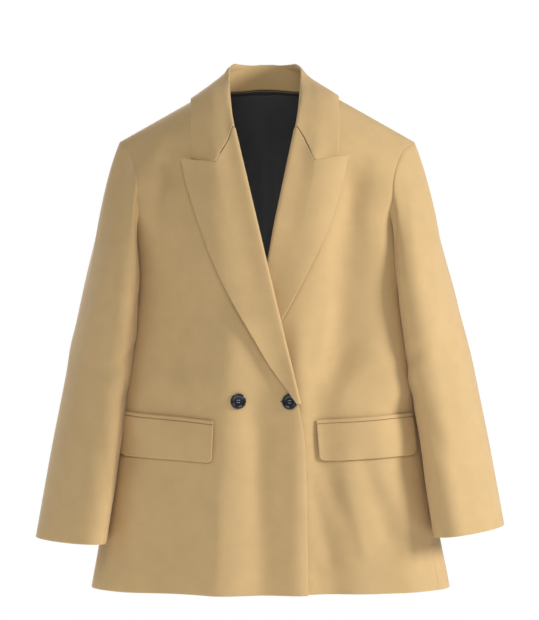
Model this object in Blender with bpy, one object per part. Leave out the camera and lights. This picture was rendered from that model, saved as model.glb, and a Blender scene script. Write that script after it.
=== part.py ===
"""Double breasted blazer, worn form with nobody inside it.

Sizes are in millimetres and turned into metres as each mesh is made. +Z is up, the front faces -Y and +X is
the wearer's left. The origin is the centre of the neck base, level with the back neck seam. Each piece is a
thin wall of cloth laid out on one body surface, so neighbouring pieces share the points of their seam.
"""
import math

import bmesh
import bpy
import numpy as np

MM = 0.001

# Cloth and seams
CLOTH_WALL = 1.6
DOUBLE_WALL = 2.0
LINING_WALL = 1.0
SEAM_INSET = 0.16
SEWN_EDGES = ("first_row", "first_column", "last_column")
FRONT_COLUMNS = 12
BACK_COLUMNS = 9

# Body surface
SECTION_POWER = 2.2
FRONT_CAP = 260.0
BACK_CAP = 200.0
SLOPE_REACH = 250.0
SHOULDER_SLOPE = 0.565
SHOULDER_EASE = 64.0
NECK_SIDE_X = 75.0
NECK_SIDE_RISE = -4.0
BACK_NECK_RISE = 30.0
NECK_SHIFT = -3.0
HEM_LEVEL = -725.0
UNDERARM_LEVEL = -234.0
CORNER_LEVEL = -205.0
SIDE_SEAM_SHARE = 0.93
SEAM_LEVEL = -0.0004
# small steps that directions are measured over, and the levels within which the shoulder lies flat
TURN_STEP = 0.004
LEVEL_STEP = 0.25
SHOULDER_FLAT = (0.3, 2.0)
# share of a quarter turn's cosine beside the side line over which folds and lifts fade
SIDE_FADE = 0.25
LEVEL_ROUNDS = 40
LEVEL_PACE = 0.7
HALF_TURN = math.pi
QUARTER_TURN = math.pi / 2

# level, half width, front depth, back depth, sideways shift of the body's section
BODY_ROWS = np.array([
    (-725.0, 258.0, 100.0, 90.0, 5.0),
    (-660.0, 247.0, 102.0, 92.0, 4.5),
    (-580.0, 235.0, 106.0, 95.0, 4.0),
    (-500.0, 219.0, 110.0, 99.0, 4.0),
    (-400.0, 200.5, 115.0, 104.0, 4.0),
    (-300.0, 190.5, 119.0, 109.0, 3.0),
    (-220.0, 196.0, 120.0, 112.0, 0.0),
    (-120.0, 223.0, 119.0, 112.0, 0.0),
    (0.0, 236.0, 118.0, 112.0, 0.0),
])

# Folds pressed or hung into the cloth: face (-1 front, 1 back), x and z of the upper end, x and z of the
# lower end, reach to each side, height (a trough is below zero)
FOLD_ROWS = (
    (-1, -150.0, -85.0, -154.0, -260.0, 20.0, 3.2),
    (-1, -180.0, -120.0, -186.0, -300.0, 18.0, -2.6),
    (-1, -40.0, -350.0, -44.0, -760.0, 34.0, 7.0),
    (-1, -100.0, -480.0, -104.0, -760.0, 38.0, -5.0),
    (-1, 26.0, -470.0, 30.0, -760.0, 20.0, -3.0),
    (-1, -190.0, -560.0, -196.0, -760.0, 30.0, 4.5),
    (-1, 122.0, -60.0, 138.0, -270.0, 20.0, -2.8),
    (-1, 158.0, -75.0, 166.0, -260.0, 20.0, 2.6),
    (-1, 82.0, -250.0, 72.0, -760.0, 26.0, 5.0),
    (-1, 130.0, -540.0, 190.0, -680.0, 22.0, -3.5),
    (-1, 84.0, -540.0, 128.0, -650.0, 18.0, -2.5),
    (-1, 196.0, -560.0, 204.0, -760.0, 28.0, 4.0),
    (1, -132.0, -110.0, -120.0, -330.0, 26.0, 4.5),
    (1, 128.0, -120.0, 118.0, -300.0, 24.0, 4.0),
    (1, -70.0, -380.0, -92.0, -760.0, 36.0, 7.0),
    (1, 84.0, -420.0, 98.0, -760.0, 34.0, 6.0),
    (1, 6.0, -300.0, 0.0, -760.0, 26.0, -4.0),
    (1, 168.0, -480.0, 182.0, -760.0, 28.0, -4.0),
    (1, -166.0, -440.0, -178.0, -760.0, 28.0, -3.5),
)
FOLD_END = 45.0
FOLD_LEAD = 18.0

# Where the two fronts cross, the upper one lies further out and the lower one further in
CROSS_TOP = -195.0
CROSS_FULL = -255.0
CROSS_EDGE = 52.0
CROSS_FADE = 78.0
OVER_LIFT = 5.0
UNDER_LIFT = -4.2

# Levels of the seam points on the armhole and down the body, shared by every piece that meets there
ARM_LEVELS = np.array([0.0, -2.5, -8.5, -18.0, -30.0, -45.0, -62.0, -83.0, -108.0, -137.0, -169.0, -205.0])
LOW_LEVELS = np.array([-262.0, -320.0, -378.0, -436.0, -494.0, -552.0, -610.0, -668.0, -725.0])
CENTRE_LEVELS = np.array([-62.0, -97.0, -133.0, -169.0, -205.0])
# level and share of the half width of the armhole line on each face
ARMHOLE_FRONT = np.array([(-205.0, 0.93), (-187.0, 0.868), (-145.0, 0.822), (-97.0, 0.794), (-54.0, 0.808),
                          (-18.0, 0.851), (0.0, 0.9025)])
ARMHOLE_BACK = np.array([(-205.0, 0.93), (-187.0, 0.892), (-145.0, 0.856), (-97.0, 0.836), (-54.0, 0.848),
                         (-18.0, 0.875), (0.0, 0.9025)])
# neck seam from the neck side: distance from the centre and level
FRONT_NECK = np.array([(75.0, 0.0), (74.3, -6.5), (72.0, -13.0), (67.5, -21.0), (61.0, -36.0), (53.5, -52.0),
                       (45.0, -69.0)])
BACK_NECK = np.array([(75.0, 0.0), (70.5, -5.0), (61.5, -13.0), (48.5, -20.5), (33.5, -26.0), (17.0, -29.0),
                      (0.0, -30.0)])

# Roll line and front edge of the over front; the under front mirrors them with its own slant
ROLL_TOP_LEVEL = -69.0
BREAK_LEVEL = -455.0
# level and x, from the hem up to the break
OVER_EDGE = np.array([(-725.0, 57.5), (-660.0, 56.5), (-580.0, 55.0), (-500.0, 51.0), (-455.0, 43.0)])
UNDER_EDGE = np.array([(-725.0, -52.0), (-660.0, -51.0), (-580.0, -49.0), (-500.0, -46.0), (-455.0, -39.0)])
ROLL_RADIUS = 3.1
# heights of the seam points down the roll line
ROLL_LEVELS = np.array([-69.0, -93.0, -120.0, -149.0, -178.0, -207.0, -264.0, -322.0, -389.0, -455.0])
FREE_LEVELS = np.array([-500.0, -555.0, -612.0, -669.0, -725.0])
LAPEL_LEVELS = np.array([-69.0, -93.0, -120.0, -149.0, -178.0, -207.0, -235.5, -264.0, -293.0, -322.0, -355.5,
                         -389.0, -422.0, -454.5])

# Lapels: distances for the over lapel, in x and z: gorge bend, notch, peak, then the outer edge downwards
OVER_LAPEL_TOP = np.array([(-53.5, -87.0), (-71.5, -120.0), (-121.5, -110.5)])
OVER_LAPEL_EDGE = np.array([(-121.5, -110.5), (-117.0, -136.0), (-105.0, -175.0), (-89.5, -216.0), (-69.5, -265.0),
                            (-51.0, -305.0), (-23.5, -355.0), (4.0, -403.0), (29.0, -438.0), (40.5, -455.0)])
UNDER_LAPEL_TOP = np.array([(51.0, -84.0), (66.0, -117.5), (113.5, -107.5)])
UNDER_LAPEL_EDGE = np.array([(113.5, -107.5), (111.0, -130.0), (99.5, -171.0), (85.5, -210.0), (63.0, -258.0),
                             (43.5, -297.0), (20.0, -341.0), (-4.0, -387.0), (-26.0, -430.0), (-36.5, -455.0)])
LAPEL_REST_LIFT = 3.4
GORGE_STEPS = 3
PEAK_STEPS = 3
ROLL_AWAY = (0.974, -0.226)
ROLL_ANGLES = (-35.0, 20.0, 80.0)
ROLL_SPREAD = 22.0
ROLL_INSET = 0.5
HIDDEN_ROLL = 1.8

# Collar: share of the half collar from the back centre, x, y, z of the fold, x, z of the leaf's outer edge
COLLAR_ROWS = np.array([
    (0.0, 0.0, 57.0, 35.0, 0.0, -27.0),
    (0.14, 19.0, 54.5, 35.2, 34.0, -27.0),
    (0.28, 36.0, 45.0, 35.0, 66.0, -25.5),
    (0.40, 47.0, 29.0, 33.8, 92.0, -21.5),
    (0.48, 51.5, 14.0, 29.0, 103.0, -20.2),
    (0.56, 52.5, -2.0, 18.0, 103.0, -22.5),
    (0.66, 51.5, -20.0, 0.0, 103.3, -29.5),
    (0.76, 49.0, -36.0, -19.0, 103.5, -41.0),
    (0.88, 45.0, -54.0, -42.0, 103.5, -66.0),
    (1.0, 40.0, -70.0, -66.0, 103.5, -107.0),
])
COLLAR_LIFT = 5.2
STAND_GAP = 1.7
SMOOTH_TIMES = 2
PUSH_TIMES = 3
STAND_POINTS = 3
LEAF_SHARES = (0.08, 0.26, 0.44, 0.62, 0.81, 1.0)
END_FROM = 0.6
GORGE_GAP = (0.9, 0.5)
NECK_GAP = (1.4, 1.9)
# x and z of the collar end from the notch to its corner
COLLAR_END_OVER = np.array([(-89.5, -115.4), (-106.8, -110.0)])
COLLAR_END_UNDER = np.array([(84.0, -112.6), (100.4, -108.0)])

# Sleeve sections below the head: centre x, y, z, long half, short half, turn of the long half inwards
SLEEVE_ROWS = np.array([
    (225.0, -33.0, -302.0, 70.0, 32.0, 26.0),
    (233.5, -28.0, -355.0, 70.0, 32.5, 30.5),
    (241.0, -23.0, -402.0, 70.0, 33.0, 33.5),
    (250.5, -24.0, -458.0, 70.0, 33.0, 35.5),
    (260.5, -29.0, -522.0, 70.0, 33.5, 38.5),
    (269.5, -33.0, -584.0, 70.0, 34.0, 41.0),
    (281.0, -36.0, -654.0, 69.0, 34.5, 42.5),
])
# The wearer's left sleeve hangs a little further out and its cuff sits higher and more tilted
SWING_OUT = 9.0
SWING_UP = 13.0
SWING_FROM = -250.0
SWING_FULL = -420.0
TILT_RIGHT = 1.5
TILT_LEFT = 6.0
HEAD_RINGS = 4
UNDER_SLEEVE_FROM = 9
UNDER_SLEEVE_TO = 18
SIDE_COLUMNS = 5
HEAD_START_OUT = 0.9
HEAD_FULLNESS = 0.24
UNDERARM_CLEAR = 2.6
UNDERARM_SPREAD = 5.0
UNDERARM_SLACK = 0.75
HEAD_LEAN = 9.0
HEAD_FORWARD = -0.1

# Pockets: x and z of the flap's four corners (inner top, outer top, outer bottom, inner bottom)
FLAP_RIGHT = np.array([(-72.5, -484.5), (-203.0, -475.0), (-208.0, -532.0), (-75.0, -538.0)])
FLAP_LEFT = np.array([(70.0, -485.0), (205.0, -477.0), (211.0, -531.0), (74.0, -537.0)])
FLAP_ROWS = 4
JET_ROWS = 2
POCKET_COLUMNS = 9
JET_HEIGHT = 5.0
JET_GAP = 0.5
FLAP_LIFT = 3.7
JET_LIFT = 3.4

# Buttons
BUTTON_SEGMENTS = 20
BUTTON_OUTER = (-39.0, -451.0)
BUTTON_CLOSING = (31.5, -452.0)
BUTTON_FLOAT = 0.5
# radius and height of the button's turned section, from the back centre round the rim to the front centre
BUTTON_SECTION = ((8.8, 0.0), (10.7, 0.8), (11.0, 1.7), (9.9, 2.6), (8.6, 2.6), (7.2, 1.7))
BUTTON_MIDDLE = 1.5

LINING_LEVELS = np.array([-2.5, -12.0, -32.0, -70.0, -120.0, -180.0, -250.0, -340.0, -450.0])
LINING_LIFT = -4.6
LINING_COLUMNS = 12
LINING_SIDE_GAP = 0.05
LINING_TOP_AT = -12.0
LINING_TOP_GAP = 3.0
PLEAT_DEPTH = 3.2
PLEAT_REACH = 9.0

WOOL = (0.58, 0.40, 0.20, 1.0)
LINING = (0.012, 0.012, 0.014, 1.0)
HORN = (0.008, 0.009, 0.014, 1.0)
WOOL_ROUGHNESS = 0.85
LINING_ROUGHNESS = 0.35
HORN_ROUGHNESS = 0.25


def smooth(value, low, high):
    """0 to 1 as the value goes from low to high, eased at both ends."""
    share = np.clip((np.asarray(value, float) - low) / (high - low), 0.0, 1.0)
    return share * share * (3.0 - 2.0 * share)


def curve(keys, values, at):
    """Smooth curve through a table's rows; keys may rise or fall."""
    keys = np.asarray(keys, float)
    values = np.asarray(values, float)
    if keys[0] > keys[-1]:
        keys = keys[::-1]
        values = values[::-1]
    slopes = np.gradient(values, keys)
    at = np.clip(np.asarray(at, float), keys[0], keys[-1])
    place = np.clip(np.searchsorted(keys, at, side="right") - 1, 0, len(keys) - 2)
    span = keys[place + 1] - keys[place]
    share = (at - keys[place]) / span
    square = share * share
    cube = square * share
    return (values[place] * (2 * cube - 3 * square + 1) + slopes[place] * span * (cube - 2 * square + share)
            + values[place + 1] * (3 * square - 2 * cube) + slopes[place + 1] * span * (cube - square))


def polyline(points, count):
    """Evenly spaced points along a broken line."""
    points = np.asarray(points, float)
    steps = np.linalg.norm(np.diff(points, axis=0), axis=1)
    reach = np.concatenate([[0.0], np.cumsum(steps)])
    at = np.linspace(0.0, reach[-1], count)
    return np.stack([np.interp(at, reach, points[:, i]) for i in range(points.shape[1])], axis=1)


def spline(points, shares):
    """Points of a smooth curve through the given points, at these shares of its length."""
    points = np.asarray(points, float)
    steps = np.linalg.norm(np.diff(points, axis=0), axis=1)
    reach = np.concatenate([[0.0], np.cumsum(steps)])
    at = shares * reach[-1]
    return np.stack([curve(reach, points[:, i], at) for i in range(points.shape[1])], axis=1)


def rise(x, face):
    """Height of the shoulder line above the origin at x; the back's carries up to the back neck."""
    away = np.abs(x)
    over = away - NECK_SIDE_X
    slope = -SHOULDER_SLOPE * 0.5 * (over + np.sqrt(over * over + SHOULDER_EASE)) + NECK_SIDE_RISE
    inner = np.clip(1.0 - (away / NECK_SIDE_X) ** 2, 0.0, 1.0)
    return slope + np.where(face > 0, BACK_NECK_RISE - NECK_SIDE_RISE, 0.0) * inner


def carry(level):
    """How much of the shoulder slope is left at this level of the body."""
    return smooth(level, -SLOPE_REACH, 0.0)


def cap(level, height):
    """Depth of the body towards the shoulder line, as a share of its full depth."""
    up = np.clip(1.0 + level / height, 0.0, 1.0)
    return np.sqrt(np.clip(1.0 - up * up, 0.0, 1.0))


def body_row(level, column):
    return curve(BODY_ROWS[:, 0], BODY_ROWS[:, column], level)


def bare(turn, level):
    """Point of the body surface; turn 0 is the front centre and a quarter turn the +X side."""
    level = np.minimum(level, SEAM_LEVEL)
    sine = np.sin(turn)
    cosine = np.cos(turn)
    power = 2.0 / SECTION_POWER
    face = np.where(cosine >= 0.0, -1, 1)
    x = body_row(level, 4) + body_row(level, 1) * np.sign(sine) * np.abs(sine) ** power
    front = body_row(level, 2) * cap(level, FRONT_CAP)
    back = body_row(level, 3) * cap(level, BACK_CAP)
    y = np.where(cosine >= 0.0, -front, back) * np.abs(cosine) ** power
    z = level + rise(x, face) * carry(level)
    return np.stack([x, y, z], axis=-1)


def bare_normal(turn, level):
    """Outward direction of the body surface."""
    level = np.minimum(level, -SHOULDER_FLAT[0])
    side = bare(turn + TURN_STEP, level) - bare(turn - TURN_STEP, level)
    up = bare(turn, level + LEVEL_STEP) - bare(turn, level - LEVEL_STEP)
    normal = np.cross(side, up)
    # at the shoulder seam the two faces share one direction
    normal[..., 1] *= smooth(-level, *SHOULDER_FLAT)
    return normal / np.linalg.norm(normal, axis=-1, keepdims=True)


def fold_height(point, face):
    """Sum of the folds at a point."""
    total = np.zeros(point.shape[:-1])
    for row_face, x0, z0, x1, z1, reach, height in FOLD_ROWS:
        along = np.array([x1 - x0, z1 - z0])
        length = np.linalg.norm(along)
        along = along / length
        from_top = (point[..., 0] - x0) * along[0] + (point[..., 2] - z0) * along[1]
        across = (point[..., 0] - x0) * along[1] - (point[..., 2] - z0) * along[0]
        ends = smooth(from_top, -FOLD_LEAD, FOLD_END) * (1.0 - smooth(from_top, length - FOLD_END, length))
        total = total + np.where(face == row_face, 1.0, 0.0) * height * ends * np.exp(-(across / reach) ** 2)
    return total


def cross_lift(point, side):
    """Extra lift where the fronts cross: side -1 is the over front, 1 the under front."""
    if side == 0:
        return np.zeros(point.shape[:-1])
    depth = 1.0 - smooth(point[..., 2], CROSS_FULL, CROSS_TOP)
    spread = 1.0 - smooth(side * point[..., 0], CROSS_EDGE, CROSS_EDGE + CROSS_FADE)
    return (OVER_LIFT if side < 0 else UNDER_LIFT) * depth * spread


def surface(turn, level, lift, side=0):
    """Point of the cloth's mid surface, moved out by the lift."""
    turn = np.asarray(turn, float)
    level = np.asarray(level, float)
    point = bare(turn, level)
    face = np.where(np.cos(turn) >= 0.0, -1, 1)
    edge = smooth(np.abs(np.cos(turn)), 0.0, SIDE_FADE)
    out = fold_height(point, face) * edge + cross_lift(point, side) + lift
    return point + bare_normal(turn, level) * out[..., None]


def turn_at(x, level, face=-1):
    """Turn of the point at distance x from the centre plane."""
    share = (np.asarray(x, float) - body_row(level, 4)) / body_row(level, 1)
    share = np.clip(share, -1.0, 1.0)
    turn = np.arcsin(np.sign(share) * np.abs(share) ** (SECTION_POWER / 2.0))
    return turn if face < 0 else HALF_TURN - turn


def level_at(x, z, face=-1):
    """Level of the front surface's point that has this x and height z."""
    level = np.array(z, float)
    for _ in range(LEVEL_ROUNDS):
        level = np.minimum(level + LEVEL_PACE * (z - (level + rise(x, face) * carry(level))), SEAM_LEVEL)
    return level


def front_point(x, z, lift, side=0):
    """Point on the front surface by its x and height."""
    x = np.asarray(x, float)
    z = np.asarray(z, float)
    level = level_at(x, z)
    return surface(turn_at(x, level), level, lift, side)


def draw_in(grid, amount, edges):
    """Moves the named edges of a grid of points inwards along the grid."""
    moved = grid.copy()
    for edge in edges:
        if edge == "first_row":
            rim, inner = grid[0], grid[1]
        elif edge == "last_row":
            rim, inner = grid[-1], grid[-2]
        elif edge == "first_column":
            rim, inner = grid[:, 0], grid[:, 1]
        else:
            rim, inner = grid[:, -1], grid[:, -2]
        way = inner - rim
        way = way / np.maximum(np.linalg.norm(way, axis=-1, keepdims=True), 1e-6) * amount
        if edge == "first_row":
            moved[0] += way
        elif edge == "last_row":
            moved[-1] += way
        elif edge == "first_column":
            moved[:, 0] += way
        else:
            moved[:, -1] += way
    return moved


def material(name, colour, roughness):
    made = bpy.data.materials.new(name)
    made.use_nodes = True
    shader = made.node_tree.nodes["Principled BSDF"]
    shader.inputs["Base Color"].default_value = colour
    shader.inputs["Roughness"].default_value = roughness
    return made


def add_object(name, points, faces, colour, roughness):
    """One closed, outward facing object of the given points, in millimetres, and faces."""
    mesh = bpy.data.meshes.new(name)
    mesh.from_pydata([tuple(p) for p in np.asarray(points) * MM], [], faces)
    mesh.materials.append(material(name, colour, roughness))
    shape = bmesh.new()
    shape.from_mesh(mesh)
    bmesh.ops.triangulate(shape, faces=shape.faces[:])
    bmesh.ops.recalc_face_normals(shape, faces=shape.faces[:])
    shape.to_mesh(mesh)
    shape.free()
    made = bpy.data.objects.new(name, mesh)
    bpy.context.scene.collection.objects.link(made)
    return made


def add_wall(name, outer, inner, colour=WOOL, roughness=WOOL_ROUGHNESS):
    """Closed wall of cloth between two grids of points."""
    rows, columns = outer.shape[:2]
    points = np.concatenate([outer.reshape(-1, 3), inner.reshape(-1, 3)])
    shift = rows * columns
    faces = []
    for r in range(rows - 1):
        for c in range(columns - 1):
            a = r * columns + c
            quad = (a, a + 1, a + columns + 1, a + columns)
            faces.append(quad)
            faces.append(tuple(shift + i for i in reversed(quad)))
    rim = [c for c in range(columns)]
    rim += [r * columns + columns - 1 for r in range(1, rows)]
    rim += [(rows - 1) * columns + c for c in range(columns - 2, -1, -1)]
    rim += [r * columns for r in range(rows - 2, 0, -1)]
    for i, a in enumerate(rim):
        b = rim[(i + 1) % len(rim)]
        faces.append((b, a, shift + a, shift + b))
    return add_object(name, points, faces, colour, roughness)


def grid_normals(grid):
    """Directions square to a grid of points."""
    across = np.gradient(grid, axis=1)
    along = np.gradient(grid, axis=0)
    normal = np.cross(across, along)
    return normal / np.maximum(np.linalg.norm(normal, axis=-1, keepdims=True), 1e-9)


def mixed(first, last, count):
    """Rows of a grid running from one list of values to another."""
    share = np.linspace(0.0, 1.0, count)
    return first[:, None] * (1.0 - share) + last[:, None] * share


def panel(name, first_turn, first_level, last_turn, last_level, columns, side):
    turns = mixed(np.asarray(first_turn), np.asarray(last_turn), columns)
    levels = mixed(np.asarray(first_level), np.asarray(last_level), columns)
    outer = draw_in(surface(turns, levels, CLOTH_WALL / 2, side), SEAM_INSET, SEWN_EDGES)
    inner = draw_in(surface(turns, levels, -CLOTH_WALL / 2, side), SEAM_INSET, SEWN_EDGES)
    return add_wall(name, outer, inner)


def armhole_turns(face):
    rows = ARMHOLE_FRONT if face < 0 else ARMHOLE_BACK
    share = curve(rows[:, 0], rows[:, 1], ARM_LEVELS)
    turn = np.arcsin(share ** (SECTION_POWER / 2.0))
    return turn if face < 0 else HALF_TURN - turn


def seam_turn(face):
    turn = math.asin(SIDE_SEAM_SHARE ** (SECTION_POWER / 2.0))
    return turn if face < 0 else HALF_TURN - turn


def roll_x(side, z):
    """x of the roll line on one front, at height z."""
    edge = OVER_EDGE if side < 0 else UNDER_EDGE
    top = side * FRONT_NECK[-1, 0] + NECK_SHIFT
    share = (z - ROLL_TOP_LEVEL) / (BREAK_LEVEL - ROLL_TOP_LEVEL)
    return top + (edge[-1, 1] - top) * share


def front_edge(side):
    """x and height of every point down the front's inner edge: neck, roll line, then the free edge."""
    neck = np.stack([side * FRONT_NECK[:, 0] + NECK_SHIFT, FRONT_NECK[:, 1]], axis=1)
    neck[0, 0] = side * NECK_SIDE_X
    roll_z = ROLL_LEVELS[1:]
    roll = np.stack([roll_x(side, roll_z), roll_z], axis=1)
    table = OVER_EDGE if side < 0 else UNDER_EDGE
    free_z = FREE_LEVELS
    free = np.stack([curve(table[:, 0], table[:, 1], free_z), free_z], axis=1)
    return np.concatenate([neck, roll, free])


def front_rows(side):
    """Turns and levels of the two sides of a front, row by row from the shoulder to the hem."""
    edge = front_edge(side)
    level = level_at(edge[:, 0], edge[:, 1])
    level[0] = 0.0
    first = turn_at(edge[:, 0], level)
    outer_levels = np.concatenate([ARM_LEVELS, LOW_LEVELS])
    outer_turns = np.concatenate([armhole_turns(-1), np.full(len(LOW_LEVELS), seam_turn(-1))])
    return first, level, side * outer_turns, outer_levels


def make_fronts():
    for side, name in ((-1, "front_over"), (1, "front_under")):
        first, level, last, last_level = front_rows(side)
        panel(name, first, level, last, last_level, FRONT_COLUMNS, side)


def make_sides():
    for side, name in ((-1, "side_right"), (1, "side_left")):
        levels = np.concatenate([[CORNER_LEVEL], LOW_LEVELS])
        turns = np.linspace(seam_turn(-1), seam_turn(1), SIDE_COLUMNS + 1)
        dip = 1.0 - ((turns - QUARTER_TURN) / (turns[-1] - QUARTER_TURN)) ** 2
        top = CORNER_LEVEL + (UNDERARM_LEVEL - CORNER_LEVEL) * dip
        share = (levels[:, None] - HEM_LEVEL) / (CORNER_LEVEL - HEM_LEVEL)
        grid_levels = HEM_LEVEL + (top[None, :] - HEM_LEVEL) * share
        grid_turns = np.repeat(side * turns[None, :], len(levels), axis=0)
        outer = draw_in(surface(grid_turns, grid_levels, CLOTH_WALL / 2), SEAM_INSET, SEWN_EDGES)
        inner = draw_in(surface(grid_turns, grid_levels, -CLOTH_WALL / 2), SEAM_INSET, SEWN_EDGES)
        add_wall(name, outer, inner)


def back_rows(side):
    neck_levels = BACK_NECK[:, 1]
    neck_turns = turn_at(BACK_NECK[:, 0], np.minimum(neck_levels, SEAM_LEVEL), 1)
    seam_levels = np.concatenate([neck_levels, CENTRE_LEVELS, LOW_LEVELS])
    seam_turns = np.concatenate([neck_turns, np.full(len(CENTRE_LEVELS) + len(LOW_LEVELS), HALF_TURN)])
    levels = np.concatenate([ARM_LEVELS, LOW_LEVELS])
    turns = np.concatenate([armhole_turns(1), np.full(len(LOW_LEVELS), seam_turn(1))])
    return side * seam_turns, seam_levels, side * turns, levels


def make_backs():
    for side, name in ((-1, "back_right"), (1, "back_left")):
        first, first_level, last, last_level = back_rows(side)
        panel(name, first, first_level, last, last_level, BACK_COLUMNS, 0)


def armhole_loop(side):
    """Turn and level of each point round the armhole, from the shoulder down the front and up the back."""
    dip_turns = np.linspace(seam_turn(-1), seam_turn(1), SIDE_COLUMNS + 1)[1:-1]
    dip = 1.0 - ((dip_turns - QUARTER_TURN) / (seam_turn(1) - QUARTER_TURN)) ** 2
    dip_levels = CORNER_LEVEL + (UNDERARM_LEVEL - CORNER_LEVEL) * dip
    turns = np.concatenate([armhole_turns(-1), dip_turns, armhole_turns(1)[:0:-1]])
    levels = np.concatenate([ARM_LEVELS, dip_levels, ARM_LEVELS[:0:-1]])
    return side * turns, levels


def sleeve_rings(side):
    """Rings of the sleeve's mid surface from the armhole to the cuff."""
    turns, levels = armhole_loop(side)
    count = len(turns)
    start = surface(turns, levels, 0.0)
    out = bare_normal(turns, levels)
    angle = 2.0 * math.pi * np.arange(count) / count
    rings = []
    tilt = math.radians(TILT_LEFT if side > 0 else TILT_RIGHT)
    for x, y, z, long_half, short_half, turn in SLEEVE_ROWS:
        if side > 0:
            swung = 1.0 - float(smooth(z, SWING_FULL, SWING_FROM))
            x = x + SWING_OUT * swung
            z = z + SWING_UP * (z - SWING_FROM) / (SLEEVE_ROWS[-1, 2] - SWING_FROM)
        turn = math.radians(turn)
        # angle 0 is the outer side, a quarter turn the front
        local_out = math.cos(turn) * short_half * np.cos(angle) + -math.sin(turn) * long_half * np.sin(angle)
        local_front = math.sin(turn) * short_half * np.cos(angle) + math.cos(turn) * long_half * np.sin(angle)
        ring = np.stack([side * (x + local_out * math.cos(tilt)), y - local_front, z + local_out * math.sin(tilt)],
                        axis=1)
        rings.append(ring)
    lean = math.radians(HEAD_LEAN)
    down = np.array([side * math.sin(lean), HEAD_FORWARD, -math.cos(lean)])
    under = np.exp(-((np.arange(count) - count / 2.0) / UNDERARM_SPREAD) ** 2)
    level_out = out * np.array([1.0, 1.0, 0.0])
    level_out = level_out / np.linalg.norm(level_out, axis=1, keepdims=True)
    leave = down[None, :] + HEAD_FULLNESS * level_out * (1.0 - UNDERARM_SLACK * under[:, None])
    leave = leave / np.linalg.norm(leave, axis=1, keepdims=True)
    start = start + leave * HEAD_START_OUT + out * (UNDERARM_CLEAR * under)[:, None]
    end = rings[0]
    reach = np.linalg.norm(end - start, axis=1, keepdims=True)
    head = []
    for i in range(HEAD_RINGS):
        s = i / HEAD_RINGS
        head.append(start * (2 * s ** 3 - 3 * s ** 2 + 1) + leave * reach * (s ** 3 - 2 * s ** 2 + s)
                    + end * (3 * s ** 2 - 2 * s ** 3) + down * reach * (s ** 3 - s ** 2))
    return np.array(head + rings)


def make_sleeves():
    for side, word in ((-1, "right"), (1, "left")):
        rings = sleeve_rings(side)
        count = rings.shape[1]
        closed = np.concatenate([rings[:, -1:], rings, rings[:, :2]], axis=1)
        normal = grid_normals(closed)[:, 1:-2]
        centre = rings.mean(axis=1, keepdims=True)
        if np.sum(normal * (rings - centre)) < 0.0:
            normal = -normal
        outer = rings + normal * CLOTH_WALL / 2
        inner = rings - normal * CLOTH_WALL / 2
        under = np.arange(UNDER_SLEEVE_FROM, UNDER_SLEEVE_TO + 1)
        top = np.arange(UNDER_SLEEVE_TO, count + UNDER_SLEEVE_FROM + 1) % count
        for name, columns in ((f"top_sleeve_{word}", top), (f"under_sleeve_{word}", under)):
            edges = ("first_column", "last_column")
            add_wall(name, draw_in(outer[:, columns], SEAM_INSET, edges), draw_in(inner[:, columns], SEAM_INSET, edges))


def lapel_flat(side):
    """x and height of a lapel's points: columns run from the roll line to the outer edge, rows down to the break."""
    top_points = OVER_LAPEL_TOP if side < 0 else UNDER_LAPEL_TOP
    edge_points = OVER_LAPEL_EDGE if side < 0 else UNDER_LAPEL_EDGE
    roll = np.stack([roll_x(side, LAPEL_LEVELS), LAPEL_LEVELS], axis=1)
    down = (LAPEL_LEVELS - LAPEL_LEVELS[0]) / (LAPEL_LEVELS[-1] - LAPEL_LEVELS[0])
    edge = spline(edge_points, down)
    gorge_line = polyline(np.concatenate([roll[:1], top_points[:2]]), GORGE_STEPS + 1)
    peak_line = polyline(top_points[1:], PEAK_STEPS + 1)
    top = np.concatenate([gorge_line, peak_line[1:]])
    share = np.linspace(0.0, 1.0, GORGE_STEPS + PEAK_STEPS + 1)
    flat = roll[:, None] * (1 - share[None, :, None]) + edge[:, None] * share[None, :, None]
    straight = top[0] * (1 - share[:, None]) + top[-1] * share[:, None]
    fade = (1.0 - down) ** 3
    return flat + fade[:, None, None] * (top - straight)[None], roll


def lapel_mid(side):
    """Mid surface of a lapel: turned over at the roll line, then lying on its front."""
    flat, roll = lapel_flat(side)
    away = np.array([-side * ROLL_AWAY[0], ROLL_AWAY[1]])
    roll_level = level_at(roll[:, 0], roll[:, 1])
    normal = bare_normal(turn_at(roll[:, 0], roll_level), roll_level)
    radius = np.full(len(roll), ROLL_RADIUS)
    if side > 0:
        hidden = 1.0 - smooth(roll[:, 1], CROSS_FULL, CROSS_TOP)
        radius = radius * (1.0 - hidden) + HIDDEN_ROLL * hidden
    seam_x = roll_x(side, ROLL_LEVELS)
    seam = front_point(seam_x, ROLL_LEVELS, 0.0, side)
    columns = [np.stack([np.interp(-LAPEL_LEVELS, -ROLL_LEVELS, seam[:, i]) for i in range(3)], axis=1)]
    for angle in np.radians(ROLL_ANGLES):
        moved = roll + away * (radius * math.cos(angle))[:, None]
        base = front_point(moved[:, 0], moved[:, 1], 0.0, side)
        columns.append(base + normal * (radius * (1.0 + math.sin(angle)))[:, None])
    for c in range(1, flat.shape[1]):
        reach = np.linalg.norm(flat[:, c] - roll, axis=1)
        lift = LAPEL_REST_LIFT + (2.0 * radius - LAPEL_REST_LIFT) * np.exp(-(reach / ROLL_SPREAD) ** 2)
        columns.append(front_point(flat[:, c, 0], flat[:, c, 1], lift, side))
    return np.stack(columns, axis=1), normal


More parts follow.
